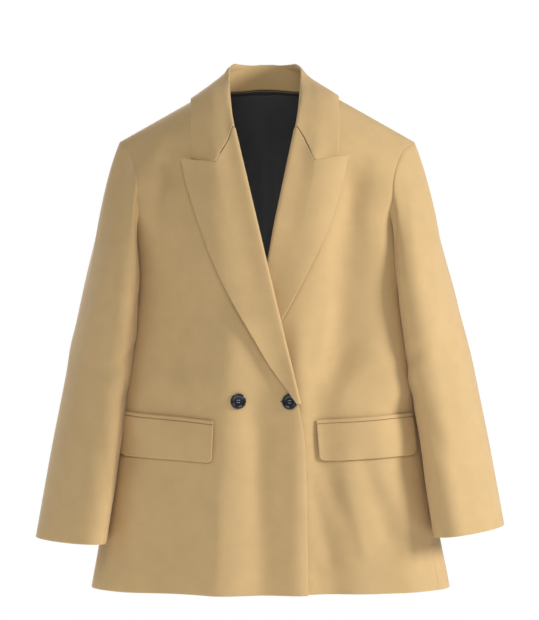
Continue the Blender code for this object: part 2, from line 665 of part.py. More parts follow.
def make_lapels():
    for side, name in ((-1, "lapel_over"), (1, "lapel_under")):
        grid, normal = lapel_mid(side)
        normals = grid_normals(grid)
        if np.sum(normals[:, -3] * normal) < 0.0:
            normals = -normals
        half = np.full((grid.shape[0], grid.shape[1], 1), DOUBLE_WALL / 2)
        half[:, 0] = CLOTH_WALL / 2
        outer = grid + normals * half
        inner = grid - normals * half
        outer[:, 0] += np.array([-side * ROLL_INSET, 0.0, 0.0])
        inner[:, 0] += np.array([-side * ROLL_INSET, 0.0, 0.0])
        add_wall(name, outer, inner)


def collar_half(side):
    """Rows from the back centre to the front end: neck seam, fold and outer edge of the collar."""
    back = BACK_NECK[::-1]
    back_level = np.minimum(back[:, 1], SEAM_LEVEL)
    back_turn = turn_at(back[:, 0], back_level, 1)
    back_seam = surface(side * back_turn, back_level, 0.0)
    front_x = side * FRONT_NECK[:, 0] + NECK_SHIFT
    front_x[0] = side * NECK_SIDE_X
    front_seam = front_point(front_x, FRONT_NECK[:, 1], 0.0, side)
    seam = np.concatenate([back_seam, front_seam[1:]])
    steps = np.linalg.norm(np.diff(seam, axis=0), axis=1)
    reach = np.concatenate([[0.0], np.cumsum(steps)])
    share = reach / reach[-1]
    fold = np.stack([side * curve(COLLAR_ROWS[:, 0], COLLAR_ROWS[:, 1], share) + NECK_SHIFT,
                     curve(COLLAR_ROWS[:, 0], COLLAR_ROWS[:, 2], share),
                     curve(COLLAR_ROWS[:, 0], COLLAR_ROWS[:, 3], share)], axis=1)
    edge = np.stack([side * curve(COLLAR_ROWS[:, 0], COLLAR_ROWS[:, 4], share) + NECK_SHIFT,
                     curve(COLLAR_ROWS[:, 0], COLLAR_ROWS[:, 5], share)], axis=1)
    return seam, fold, edge, share


def push_out(points, lift):
    """Moves points that lie too near the body, or inside it, out to the lift."""
    moved = points.copy()
    for _ in range(PUSH_TIMES):
        for i, point in enumerate(moved):
            face = -1 if point[1] < 0.0 else 1
            level = level_at(point[0], np.array(point[2]), face)
            turn = turn_at(point[0], level, face)
            base = surface(turn, level, 0.0)
            normal = bare_normal(turn, level)
            depth = float(np.dot(point - base, normal))
            if depth < lift:
                moved[i] = point + normal * (lift - depth)
    return moved


def collar_end(side):
    """End of the collar: beside the gorge seam to the notch, then along the lapel's top edge to the corner."""
    top = lapel_mid(side)[0][0]
    points = COLLAR_END_OVER if side < 0 else COLLAR_END_UNDER
    seam = top[:len(ROLL_ANGLES) + 1 + GORGE_STEPS].copy()
    seam = seam + np.array([side * GORGE_GAP[0], 0.0, GORGE_GAP[1]])
    seam[0] = top[0] + np.array([-side * NECK_GAP[0], 0.0, NECK_GAP[1]])
    free = front_point(points[:, 0], points[:, 1], LAPEL_REST_LIFT, side)
    return np.concatenate([seam, free])


def make_collar():
    halves = []
    for side in (-1, 1):
        seam, fold, edge, share = collar_half(side)
        rows = []
        for i in range(len(seam)):
            face = 1 if i < len(BACK_NECK) - 1 else -1
            level = level_at(edge[i, 0], np.array(edge[i, 1]), face)
            rest = surface(turn_at(edge[i, 0], level, face), level, COLLAR_LIFT)
            up = fold[i] - seam[i]
            up = up / np.linalg.norm(up)
            stand = [seam[i] + up * STAND_GAP, seam[i] * 0.5 + fold[i] * 0.5, fold[i]]
            leaf = [fold[i] + (rest - fold[i]) * s for s in LEAF_SHARES]
            rows.append(np.array(stand + leaf))
        rows = np.array(rows)
        change = collar_end(side) - rows[-1]
        weight = smooth(share, END_FROM, 1.0)
        rows = rows + weight[:, None, None] * change[None]
        for _ in range(SMOOTH_TIMES):
            for i in range(len(rows) - 1):
                rows[i, STAND_POINTS:] = push_out(rows[i, STAND_POINTS:], COLLAR_LIFT)
            leaf = rows[:, STAND_POINTS:]
            leaf[1:-1] = 0.5 * leaf[1:-1] + 0.25 * (leaf[:-2] + leaf[2:])
        halves.append(rows)
    grid = np.concatenate([halves[0][::-1], halves[1][1:]])
    normals = grid_normals(grid)
    if normals[len(grid) // 2, -2, 1] < 0.0:
        normals = -normals
    add_wall("collar", grid + normals * DOUBLE_WALL / 2, grid - normals * DOUBLE_WALL / 2)


def patch(name, corners, rows, lift, wall, side):
    """Small piece laid on the front by the x and z of its corners."""
    down = np.linspace(0.0, 1.0, rows)[:, None, None]
    across = np.linspace(0.0, 1.0, POCKET_COLUMNS)[None, :, None]
    top = corners[0] * (1 - across) + corners[1] * across
    bottom = corners[3] * (1 - across) + corners[2] * across
    flat = top * (1 - down) + bottom * down
    outer = front_point(flat[..., 0], flat[..., 1], lift + wall / 2, side)
    inner = front_point(flat[..., 0], flat[..., 1], lift - wall / 2, side)
    add_wall(name, outer, inner)


def make_pockets():
    for side, word, corners in ((-1, "right", FLAP_RIGHT), (1, "left", FLAP_LEFT)):
        patch(f"flap_{word}", corners, FLAP_ROWS, FLAP_LIFT, DOUBLE_WALL, side)
        up = np.array([0.0, 1.0])
        jet = np.array([corners[0] + up * (JET_GAP + JET_HEIGHT), corners[1] + up * (JET_GAP + JET_HEIGHT),
                        corners[1] + up * JET_GAP, corners[0] + up * JET_GAP])
        patch(f"jet_{word}", jet, JET_ROWS, JET_LIFT, CLOTH_WALL, side)


def make_buttons():
    for name, (x, z) in (("button_outer", BUTTON_OUTER), ("button_closing", BUTTON_CLOSING)):
        base = front_point(np.array(x), np.array(z), CLOTH_WALL / 2 + BUTTON_FLOAT, -1)
        level = level_at(x, np.array(z))
        normal = bare_normal(turn_at(x, level), level)
        across = np.cross(np.array([0.0, 0.0, 1.0]), normal)
        across = across / np.linalg.norm(across)
        up = np.cross(normal, across)
        points = [base]
        for radius, height in BUTTON_SECTION:
            for i in range(BUTTON_SEGMENTS):
                angle = 2.0 * math.pi * i / BUTTON_SEGMENTS
                around = across * math.cos(angle) + up * math.sin(angle)
                points.append(base + around * radius + normal * height)
        points.append(base + normal * BUTTON_MIDDLE)
        faces = []
        last = len(points) - 1
        rings = len(BUTTON_SECTION)
        for i in range(BUTTON_SEGMENTS):
            j = (i + 1) % BUTTON_SEGMENTS
            faces.append((0, 1 + j, 1 + i))
            for r in range(rings - 1):
                a = 1 + r * BUTTON_SEGMENTS
                b = a + BUTTON_SEGMENTS
                faces.append((a + i, a + j, b + j, b + i))
            top = 1 + (rings - 1) * BUTTON_SEGMENTS
            faces.append((top + i, top + j, last))
        add_object(name, points, faces, HORN, HORN_ROUGHNESS)


def make_lining():
    columns = np.linspace(-1.0, 1.0, LINING_COLUMNS + 1)
    seam = seam_turn(1) + LINING_SIDE_GAP
    arm = np.interp(LINING_LEVELS[::-1], ARM_LEVELS[::-1], armhole_turns(1)[::-1])[::-1] + LINING_SIDE_GAP
    edge = np.where(LINING_LEVELS > CORNER_LEVEL, arm, seam)
    grid_turns = HALF_TURN + columns[None, :] * (HALF_TURN - edge)[:, None]
    across = np.abs(bare(grid_turns[0], np.full(len(columns), LINING_TOP_AT))[:, 0])
    top = np.interp(across, BACK_NECK[::-1, 0], BACK_NECK[::-1, 1]) - LINING_TOP_GAP
    share = (LINING_LEVELS - LINING_LEVELS[-1]) / (LINING_LEVELS[0] - LINING_LEVELS[-1])
    grid_levels = LINING_LEVELS[-1] + (top[None, :] - LINING_LEVELS[-1]) * share[:, None]
    x = bare(grid_turns, grid_levels)[..., 0]
    pleat = PLEAT_DEPTH * np.exp(-((x - NECK_SHIFT) / PLEAT_REACH) ** 2)
    outer = surface(grid_turns, grid_levels, LINING_LIFT + LINING_WALL / 2 - pleat)
    inner = surface(grid_turns, grid_levels, LINING_LIFT - LINING_WALL / 2 - pleat)
    add_wall("back_lining", outer, inner, LINING, LINING_ROUGHNESS)


def main():
    for thing in list(bpy.data.objects):
        bpy.data.objects.remove(thing, do_unlink=True)
    make_fronts()
    make_sides()
    make_backs()
    make_sleeves()
    make_lapels()
    make_collar()
    make_pockets()
    make_buttons()
    make_lining()


main()
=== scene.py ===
"""Double breasted blazer: the finished cloth, buttons and studio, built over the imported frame.

Sizes inside the functions are in millimetres and turned into metres as each mesh is made. +Z is up, the front
faces -Y and +X is the wearer's left. Every cloth piece is a thin wall laid out on one body surface.
"""
import math

import bpy
import numpy as np
from bpy.props import FloatProperty, FloatVectorProperty, IntProperty, PointerProperty
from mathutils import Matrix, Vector


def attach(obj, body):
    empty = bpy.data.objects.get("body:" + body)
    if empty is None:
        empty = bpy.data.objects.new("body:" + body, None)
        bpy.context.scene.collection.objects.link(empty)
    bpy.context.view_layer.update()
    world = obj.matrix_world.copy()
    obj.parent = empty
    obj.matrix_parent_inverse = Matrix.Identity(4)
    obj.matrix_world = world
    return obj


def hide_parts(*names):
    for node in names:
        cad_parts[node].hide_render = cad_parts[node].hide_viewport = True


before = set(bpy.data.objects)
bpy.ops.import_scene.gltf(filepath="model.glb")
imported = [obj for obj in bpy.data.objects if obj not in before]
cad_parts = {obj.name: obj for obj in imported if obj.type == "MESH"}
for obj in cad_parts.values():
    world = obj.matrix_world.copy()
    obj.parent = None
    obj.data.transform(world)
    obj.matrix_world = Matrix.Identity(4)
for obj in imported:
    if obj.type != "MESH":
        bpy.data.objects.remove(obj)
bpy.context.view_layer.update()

bl_info = {
    "name": "Double Breasted Blazer",
    "version": (1, 0, 0),
    "blender": (4, 5, 0),
    "location": "View3D > Sidebar > Blazer",
    "description": "Builds a worn double breasted blazer as thin cloth over its packed frame",
    "category": "Object",
}

MM = 0.001

# Cloth and seams
CLOTH_WALL = 1.6
DOUBLE_WALL = 2.0
LINING_WALL = 1.0
SEAM_INSET = 0.16
# the inner side runs on under its neighbour, so that no light shows through a seam
SEAM_UNDERLAP = 0.36
SEWN_EDGES = ("first_row", "first_column", "last_column")
FRONT_COLUMNS = 12
BACK_COLUMNS = 9
FACING_WIDTH = 95.0
HEM_TURN_UP = 40.0
CUFF_TURN_UP = 34.0
# distance from an edge and share of the wall's thickness there
EDGE_ROUND = ((0.0, 0.36), (0.45, 0.74), (1.5, 1.0))
# largest share of a mesh step that each added row may take
EDGE_MOST = 0.3

# Body surface
SECTION_POWER = 2.2
FRONT_CAP = 260.0
BACK_CAP = 200.0
SLOPE_REACH = 250.0
SHOULDER_SLOPE = 0.565
SHOULDER_EASE = 64.0
NECK_SIDE_X = 75.0
NECK_SIDE_RISE = -4.0
BACK_NECK_RISE = 30.0
NECK_SHIFT = -3.0
HEM_LEVEL = -725.0
UNDERARM_LEVEL = -234.0
CORNER_LEVEL = -205.0
SIDE_SEAM_SHARE = 0.93
SEAM_LEVEL = -0.0004
TURN_STEP = 0.004
LEVEL_STEP = 0.25
SHOULDER_FLAT = (0.3, 2.0)
SIDE_FADE = 0.25
LEVEL_ROUNDS = 40
LEVEL_PACE = 0.7
# mean distance round the body for each radian of turn
BODY_ROUND = 165.0
HALF_TURN = math.pi
QUARTER_TURN = math.pi / 2
FULL_TURN = 2.0 * math.pi
# shorter than any length that matters, in millimetres
TINY = 1e-9

# level, half width, front depth, back depth, sideways shift of the body's section
BODY_ROWS = np.array([
    (-725.0, 258.0, 100.0, 90.0, 5.0),
    (-660.0, 247.0, 102.0, 92.0, 4.5),
    (-580.0, 235.0, 106.0, 95.0, 4.0),
    (-500.0, 219.0, 110.0, 99.0, 4.0),
    (-400.0, 200.5, 115.0, 104.0, 4.0),
    (-300.0, 190.5, 119.0, 109.0, 3.0),
    (-220.0, 196.0, 120.0, 112.0, 0.0),
    (-120.0, 223.0, 119.0, 112.0, 0.0),
    (0.0, 236.0, 118.0, 112.0, 0.0),
])

# Folds: face (-1 front, 1 back), x and z of the upper end, x and z of the lower end, reach to each side,
# height (a trough is below zero)
FOLD_ROWS = (
    (-1, -152.0, -70.0, -158.0, -240.0, 15.0, 3.0),
    (-1, -124.0, -90.0, -119.0, -440.0, 33.0, -11.0),
    (-1, -180.0, -100.0, -186.0, -520.0, 24.0, 9.0),
    (-1, -50.0, -330.0, -66.0, -760.0, 32.0, 8.5),
    (-1, -10.0, -440.0, -6.0, -760.0, 20.0, -5.5),
    (-1, -128.0, -420.0, -150.0, -760.0, 36.0, -5.0),
    (-1, -196.0, -540.0, -204.0, -760.0, 24.0, 4.0),
    (-1, 46.0, -330.0, 44.0, -760.0, 17.0, 5.0),
    (-1, 130.0, -105.0, 98.0, -450.0, 32.0, -18.0),
    (-1, 76.0, -400.0, 96.0, -760.0, 25.0, -6.5),
    (-1, 178.0, -200.0, 190.0, -480.0, 32.0, 11.0),
    (-1, 130.0, -520.0, 186.0, -680.0, 17.0, -4.0),
    (-1, 150.0, -440.0, 168.0, -620.0, 22.0, 3.5),
    (-1, 84.0, -540.0, 132.0, -660.0, 15.0, -3.0),
    (-1, 198.0, -560.0, 206.0, -760.0, 24.0, 4.0),
    (1, -132.0, -80.0, -122.0, -360.0, 26.0, 9.0),
    (1, 130.0, -90.0, 116.0, -330.0, 24.0, 8.0),
    (1, -72.0, -340.0, -94.0, -760.0, 32.0, 12.0),
    (1, 84.0, -390.0, 98.0, -760.0, 30.0, 11.0),
    (1, 6.0, -260.0, 0.0, -760.0, 26.0, -7.0),
    (1, 164.0, -420.0, 178.0, -760.0, 24.0, -7.0),
    (1, -160.0, -400.0, -174.0, -760.0, 24.0, -6.5),
)
FOLD_END = 45.0
# a fold starts to rise this share of its end before its upper point
FOLD_EARLY = 0.4
# Finer creases in the same columns
CREASE_ROWS = (
    (-1, -128.0, -120.0, -166.0, -214.0, 7.0, -1.4),
    (-1, -120.0, -150.0, -150.0, -262.0, 9.0, 1.0),
    (-1, -96.0, -300.0, -60.0, -400.0, 10.0, -1.1),
    (-1, -136.0, -352.0, -64.0, -446.0, 11.0, 1.3),
    (-1, -150.0, -386.0, -72.0, -466.0, 8.0, -1.1),
    (-1, -20.0, -470.0, -10.0, -640.0, 11.0, -1.6),
    (-1, -68.0, -560.0, -76.0, -745.0, 12.0, 1.8),
    (-1, -150.0, -560.0, -136.0, -700.0, 13.0, 1.5),
    (-1, 112.0, -92.0, 132.0, -226.0, 12.0, -1.2),
    (-1, 156.0, -96.0, 140.0, -224.0, 11.0, 1.0),
    (-1, 96.0, -300.0, 60.0, -440.0, 11.0, 1.4),
    (-1, 150.0, -330.0, 84.0, -440.0, 10.0, -1.5),
    (-1, 166.0, -366.0, 92.0, -462.0, 9.0, 1.2),
    (-1, 104.0, -560.0, 146.0, -690.0, 9.0, 1.8),
    (-1, 150.0, -548.0, 206.0, -640.0, 10.0, 1.5),
    (-1, 60.0, -560.0, 96.0, -700.0, 10.0, -1.6),
    (-1, 62.0, -680.0, 84.0, -712.0, 7.0, -2.0),
    (1, -40.0, -62.0, -120.0, -96.0, 12.0, -1.6),
    (1, 46.0, -60.0, 124.0, -92.0, 11.0, -1.5),
    (1, -170.0, -190.0, -110.0, -262.0, 11.0, -1.8),
    (1, 172.0, -186.0, 116.0, -250.0, 10.0, -1.7),
    (1, -150.0, -330.0, -60.0, -402.0, 12.0, 1.5),
    (1, 146.0, -322.0, 52.0, -396.0, 13.0, 1.4),
    (1, -36.0, -420.0, -30.0, -640.0, 13.0, -1.6),
    (1, 46.0, -470.0, 54.0, -720.0, 14.0, -1.6),
)
CREASE_END = 26.0
# Long uneven waves: height, waves along x and z in radians per millimetre, phase
WAVES = (
    (0.55, 0.031, 0.012, 0.4),
    (0.45, -0.019, 0.027, 1.9),
    (0.30, 0.052, -0.023, 3.1),
    (0.22, 0.011, 0.061, 4.4),
    (0.14, 0.083, 0.049, 2.3),
)
# how far a wave's phase shifts for each millimetre of depth
WAVE_DEPTH = 0.02
# levels below the shoulder line over which the waves grow
WAVE_FADE = (10.0, 70.0)
# Where the two fronts cross, the upper one lies further out and the lower one further in
CROSS_TOP = -195.0
CROSS_FULL = -255.0
CROSS_EDGE = 52.0
CROSS_FADE = 78.0
OVER_LIFT = 5.0
UNDER_LIFT = -4.2

# Seam points on the armhole and down the body, shared by every piece that meets there
ARM_LEVELS = np.array([0.0, -2.5, -8.5, -18.0, -30.0, -45.0, -62.0, -83.0, -108.0, -137.0, -169.0, -205.0])
LOW_LEVELS = np.array([-262.0, -320.0, -378.0, -436.0, -494.0, -552.0, -610.0, -668.0, -725.0])
CENTRE_LEVELS = np.array([-62.0, -97.0, -133.0, -169.0, -205.0])
# level and share of the half width of the armhole line on each face
ARMHOLE_FRONT = np.array([(-205.0, 0.93), (-187.0, 0.868), (-145.0, 0.822), (-97.0, 0.794), (-54.0, 0.808),
                          (-18.0, 0.851), (0.0, 0.9025)])
ARMHOLE_BACK = np.array([(-205.0, 0.93), (-187.0, 0.892), (-145.0, 0.856), (-97.0, 0.836), (-54.0, 0.848),
                         (-18.0, 0.875), (0.0, 0.9025)])
# neck seam from the neck side: distance from the centre and level
FRONT_NECK = np.array([(75.0, 0.0), (74.3, -6.5), (72.0, -13.0), (67.5, -21.0), (61.0, -36.0), (53.5, -52.0),
                       (45.0, -69.0)])
BACK_NECK = np.array([(75.0, 0.0), (70.5, -5.0), (61.5, -13.0), (48.5, -20.5), (33.5, -26.0), (17.0, -29.0),
                      (0.0, -30.0)])

# Roll line and front edge of the over front; the under front mirrors them with its own slant
ROLL_TOP_LEVEL = -69.0
BREAK_LEVEL = -455.0
# level and x, from the hem up to the break
OVER_EDGE = np.array([(-725.0, 57.5), (-660.0, 56.5), (-580.0, 55.0), (-500.0, 51.0), (-455.0, 43.0)])
UNDER_EDGE = np.array([(-725.0, -52.0), (-660.0, -51.0), (-580.0, -49.0), (-500.0, -46.0), (-455.0, -39.0)])
ROLL_RADIUS = 3.1
ROLL_LEVELS = np.array([-69.0, -93.0, -120.0, -149.0, -178.0, -207.0, -264.0, -322.0, -389.0, -455.0])
FREE_LEVELS = np.array([-455.0, -500.0, -555.0, -612.0, -669.0, -725.0])
LAPEL_LEVELS = np.array([-69.0, -93.0, -120.0, -149.0, -178.0, -207.0, -235.5, -264.0, -293.0, -322.0, -355.5,
                         -389.0, -422.0, -454.5])

# Lapels, in x and z: gorge top, notch, peak, then the outer edge downwards
OVER_LAPEL_TOP = np.array([(-53.5, -87.0), (-71.5, -120.0), (-121.5, -110.5)])
OVER_LAPEL_EDGE = np.array([(-121.5, -110.5), (-117.0, -136.0), (-105.0, -175.0), (-89.5, -216.0), (-69.5, -265.0),
                            (-51.0, -305.0), (-23.5, -355.0), (4.0, -403.0), (29.0, -438.0), (40.5, -455.0)])
UNDER_LAPEL_TOP = np.array([(51.0, -84.0), (66.0, -117.5), (113.5, -107.5)])
UNDER_LAPEL_EDGE = np.array([(113.5, -107.5), (111.0, -130.0), (99.5, -171.0), (85.5, -210.0), (63.0, -258.0),
                             (43.5, -297.0), (20.0, -341.0), (-4.0, -387.0), (-26.0, -430.0), (-36.5, -455.0)])
LAPEL_REST_LIFT = 3.4
GORGE_STEPS = 3
PEAK_STEPS = 3
ROLL_AWAY = (0.974, -0.226)
ROLL_ANGLES = (-35.0, 20.0, 80.0)
ROLL_SPREAD = 22.0
ROLL_INSET = 0.5
HIDDEN_ROLL = 1.8
ROLL_STEPS = 3
# the over lapel's outer edge stands this much further off the front
LAPEL_LIFT_EDGE = 6.0
LAPEL_LIFT_REACH = (8.0, 62.0)

# Collar: share of the half collar from the back centre, x, y, z of the fold, x, z of the leaf's outer edge
COLLAR_ROWS = np.array([
    (0.0, 0.0, 57.0, 35.0, 0.0, -27.0),
    (0.14, 19.0, 54.5, 35.2, 34.0, -27.0),
    (0.28, 36.0, 45.0, 35.0, 66.0, -25.5),
    (0.40, 47.0, 29.0, 33.8, 92.0, -21.5),
    (0.48, 51.5, 14.0, 29.0, 103.0, -20.2),
    (0.56, 52.5, -2.0, 18.0, 103.0, -22.5),
    (0.66, 51.5, -20.0, 0.0, 103.3, -29.5),
    (0.76, 49.0, -36.0, -19.0, 103.5, -41.0),
    (0.88, 45.0, -54.0, -42.0, 103.5, -66.0),
    (1.0, 40.0, -70.0, -66.0, 103.5, -107.0),
])
COLLAR_LIFT = 4.2
STAND_GAP = 1.7
SMOOTH_TIMES = 2
PUSH_TIMES = 3
STAND_POINTS = 3
LEAF_SHARES = (0.08, 0.26, 0.44, 0.62, 0.81, 1.0)
END_FROM = 0.6
GORGE_GAP = (0.9, 0.5)
NECK_GAP = (1.4, 1.9)
COLLAR_END_OVER = np.array([(-89.5, -115.4), (-106.8, -110.0)])
COLLAR_END_UNDER = np.array([(84.0, -112.6), (100.4, -108.0)])

# Sleeve sections below the head: centre x, y, z, long half, short half, turn of the long half inwards
SLEEVE_ROWS = np.array([
    (225.0, -33.0, -302.0, 70.0, 32.0, 26.0),
    (233.5, -28.0, -355.0, 70.0, 32.5, 30.5),
    (241.0, -23.0, -402.0, 70.0, 33.0, 33.5),
    (250.5, -24.0, -458.0, 70.0, 33.0, 35.5),
    (260.5, -29.0, -522.0, 70.0, 33.5, 38.5),
    (269.5, -33.0, -584.0, 70.0, 34.0, 41.0),
    (281.0, -36.0, -654.0, 69.0, 34.5, 42.5),
])
SWING_OUT = 9.0
SWING_UP = 13.0
SWING_FROM = -250.0
SWING_FULL = -420.0
TILT_RIGHT = 1.5
TILT_LEFT = 6.0
HEAD_RINGS = 4
UNDER_SLEEVE_FROM = 9
UNDER_SLEEVE_TO = 18
SIDE_COLUMNS = 5
HEAD_START_OUT = 0.5
# how far the sleeve's seam allowance runs back under the body, and how deep it lies
SEAM_ALLOWANCE = (3.5, 3.0)
HEAD_FULLNESS = 0.24
HEAD_LEAN = 9.0
UNDERARM_CLEAR = 2.6
UNDERARM_SPREAD = 5.0
UNDERARM_SLACK = 0.75
HEAD_FORWARD = -0.1
HEAD_SMOOTH = 30
HEAD_SMOOTH_REACH = 1.6
# distance below the armhole over which the creases grow
CREASE_FREE = (6.0, 70.0)
# millimetres of cloth for each degree round the sleeve
SLEEVE_DEGREE = 0.95
# Creases: degrees round from the outer side through the front, z, slant, half length, reach, height
SLEEVE_CREASES_RIGHT = (
    (95.0, -395.0, 24.0, 46.0, 9.0, -2.2),
    (110.0, -372.0, 30.0, 38.0, 8.0, 1.4),
    (80.0, -424.0, 16.0, 42.0, 10.0, 1.5),
    (120.0, -446.0, 20.0, 34.0, 9.0, -1.6),
    (60.0, -520.0, -62.0, 60.0, 16.0, -2.4),
    (30.0, -300.0, 74.0, 90.0, 16.0, 1.8),
    (140.0, -300.0, 66.0, 60.0, 12.0, -1.6),
    (250.0, -410.0, -18.0, 44.0, 11.0, -1.7),
    (290.0, -350.0, -56.0, 70.0, 14.0, 1.6),
    (45.0, -612.0, 12.0, 52.0, 10.0, 0.9),
    (8.0, -460.0, 80.0, 90.0, 20.0, 1.4),
    (138.0, -430.0, 90.0, 170.0, 12.0, 2.6),
    (112.0, -470.0, 92.0, 150.0, 15.0, -2.6),
)
SLEEVE_CREASES_LEFT = (
    (92.0, -386.0, -22.0, 44.0, 9.0, -2.0),
    (108.0, -410.0, -28.0, 40.0, 8.0, 1.5),
    (76.0, -360.0, -14.0, 40.0, 10.0, 1.3),
    (116.0, -440.0, -20.0, 36.0, 9.0, -1.7),
    (66.0, -506.0, 62.0, 66.0, 15.0, -2.0),
    (26.0, -290.0, -74.0, 90.0, 16.0, 1.6),
    (136.0, -290.0, -64.0, 60.0, 12.0, -1.8),
    (252.0, -396.0, 18.0, 46.0, 11.0, -1.6),
    (286.0, -340.0, 56.0, 70.0, 14.0, 1.5),
    (50.0, -600.0, -10.0, 48.0, 10.0, 0.9),
    (6.0, -440.0, -80.0, 90.0, 20.0, 1.3),
    (165.0, -425.0, 0.0, 75.0, 60.0, 4.0),
    (52.0, -560.0, 90.0, 120.0, 15.0, 3.4),
    (96.0, -560.0, 84.0, 110.0, 17.0, -3.2),
    (60.0, -330.0, 88.0, 120.0, 15.0, 2.0),
)

# Pockets: x and z of the flap's corners (inner top, outer top, outer bottom, inner bottom)
FLAP_RIGHT = np.array([(-72.5, -484.5), (-203.0, -475.0), (-208.0, -532.0), (-75.0, -538.0)])
FLAP_LEFT = np.array([(70.0, -485.0), (205.0, -477.0), (211.0, -531.0), (74.0, -537.0)])
FLAP_CORNER = 8.0
FLAP_ROWS = 4
FLAP_SWELL = 0.8
JET_ROWS = 1
POCKET_COLUMNS = 9
JET_HEIGHT = 5.0
JET_GAP = 0.5
FLAP_LIFT = 3.7
JET_LIFT = 3.4

# Buttons
BUTTON_OUTER = (-39.0, -451.0)
BUTTON_CLOSING = (31.5, -452.0)
BUTTON_FLOAT = 0.5
BUTTON_AROUND = 96
BUTTON_RINGS = 22
# distance from the middle and height of the button's face, then of its back
BUTTON_FACE = np.array([(0.0, 1.45), (3.6, 1.5), (5.4, 1.66), (6.6, 1.82), (7.3, 2.1), (7.9, 2.44), (8.5, 2.62),
                        (9.2, 2.68), (9.9, 2.58), (10.5, 2.28), (10.9, 1.85), (11.0, 1.6)])
BUTTON_BACK = np.array([(10.9, 1.2), (10.5, 0.72), (9.8, 0.3), (8.8, 0.0)])
HOLES = 4
HOLE_OUT = 2.3
HOLE_RADIUS = 0.85
HOLE_DEPTH = 1.1
# the hole's wall starts and ends this far inside and outside its radius; fine rings run on this far past it
HOLE_WALL = (0.22, 0.06)
HOLE_RIM = 0.4
# half the distance over which a direction on the cloth is measured
FRAME_STEP = 4.0
# radius of the bundle of strands between two holes, its length past them and its rise in thread radii
THREAD_BUNDLE = 0.42
THREAD_OVER = 1.2
THREAD_RISE = 0.2
# colour of the button thread: lighter than the real dark thread, so that it paints the glints on the buttons' middles
THREAD_AND_GLINT_COLOUR = (0.30, 0.32, 0.37, 1.0)
# a stitch's middle rises by this many thread radii; its mesh steps along and round the thread
STITCH_ARCH = 2.6
STITCH_STEPS = 6
STITCH_SIDES = 7
# x and z of the buttonhole's middle, its half length and half width, and its height off the cloth
BUTTONHOLE = (28.5, -452.0)
BUTTONHOLE_HALF = 9.5
BUTTONHOLE_WIDTH = 0.9
BUTTONHOLE_FLOAT = 0.12
BUTTONHOLE_POINTS = 64
# below 1 the buttonhole's ends are blunter than an ellipse's
BUTTONHOLE_BLUNT = 0.6
# spacing, length and thread radius of its stitches, and how dark they are beside the suiting, a darkening that paints
# the shade of the buttonhole's opening
BUTTONHOLE_STITCH = (0.55, 1.7, 0.26)
BUTTONHOLE_PAINTED_SHADE = 0.34

# Finishes. Noise: scale, detail, roughness
TWILL_WOBBLE = (900.0, 1.0, 0.5)
WOOL_MOTTLE = (38.0, 4.0, 0.6)
WOOL_CLOUD = (6.0, 2.0, 0.5)
WOOL_FIBRE = (2600.0, 2.0, 0.7)
SATIN_CLOUD = (26.0, 3.0, 0.55)
HORN_FIGURE = (210.0, 4.0, 0.62)
HORN_FLECK = (900.0, 2.0, 0.6)
FLOOR_TONE = (3.0, 2.0, 0.5)
# the ribs' wobble in radians, their pace across and along the cloth, and the warp's pace
WOBBLE = 0.9
TWILL_WAY = (0.82, 0.57)
WARP_PACE = 1.9
# shares of twill and warp in the ridges, of ridge, mottle, fibre and cloud in the tone, and of ridge, fibre and
# mottle in the relief
RIDGE_SHARES = (0.75, 0.25)
TONE_SHARES = (0.34, 0.34, 0.16, 0.16)
RELIEF_SHARES = (0.6, 0.25, 0.15)
# places on the tone of the suiting's darker and lighter shades
WOOL_STOPS = (0.22, 0.78)
# shares of a finish's colour in its darker and lighter shades
WOOL_SHADES = (0.83, 1.13)
SATIN_SHADES = (0.7, 1.5)
HORN_SHADES = (0.6, 3.2)
THREAD_SHADES = (0.72, 1.2)
FLOOR_SHADES = (0.86, 0.90)
# least roughness and how much the pattern adds
WOOL_ROUGH = (0.74, 0.14)
SATIN_ROUGH = (0.42, 0.16)
HORN_ROUGH = (0.20, 0.16)
THREAD_ROUGH = (0.52, 0.16)
FLOOR_ROUGH = 0.9
# strength of the relief and its depth in metres, which a size of the cloth gives for the suiting
WOOL_RELIEF = 0.35
SATIN_RELIEF = (0.25, 0.00006)
HORN_RELIEF = (0.12, 0.00005)
THREAD_RELIEF = (0.3, 0.00005)
# the horn's figure is stretched by this factor about its light end and then sharpened by a power
HORN_STRETCH = 1.4
HORN_SHARPNESS = 2.0
THREAD_TWIST = {"Scale": 900.0, "Distortion": 1.5}
WHITE = (1.0, 1.0, 1.0, 1.0)
# distance between the satin's threads and between its floats in metres, and the floats' slant
SATIN_THREAD = 0.0006
SATIN_FLOAT = 0.0021
SATIN_SLANT = 900.0
SATIN_SHARES = (0.3, 0.2, 0.5)

# Studio: name, place, diameter and colour of each light
LIGHTS = (
    ("key_light", (2.85, -0.95, 0.55), 0.9, (1.0, 0.985, 0.96)),
    ("fill_light", (-2.6, -1.0, 0.35), 2.4, (0.97, 0.985, 1.0)),
    ("top_light", (-0.1, -2.6, 1.2), 1.6, (1.0, 1.0, 1.0)),
    ("back_light", (-1.2, 3.0, 1.3), 2.0, (1.0, 1.0, 1.0)),
)
LIGHT_TARGET = (0.0, 0.0, -0.32)
FLOOR_RADIUS = 2.3
FLOOR_SIDES = 96
FLOOR_GLOW = 0.42
SENSOR_WIDTH = 36.0
CLIP_END = 30.0

# Lining
LINING_LEVELS = np.array([-2.5, -12.0, -32.0, -70.0, -120.0, -180.0, -250.0, -340.0, -450.0])
LINING_LIFT = -4.6
LINING_COLUMNS = 12
LINING_SIDE_GAP = 0.05
LINING_TOP_AT = -12.0
LINING_TOP_GAP = 3.0
PLEAT_DEPTH = 3.2
PLEAT_REACH = 9.0
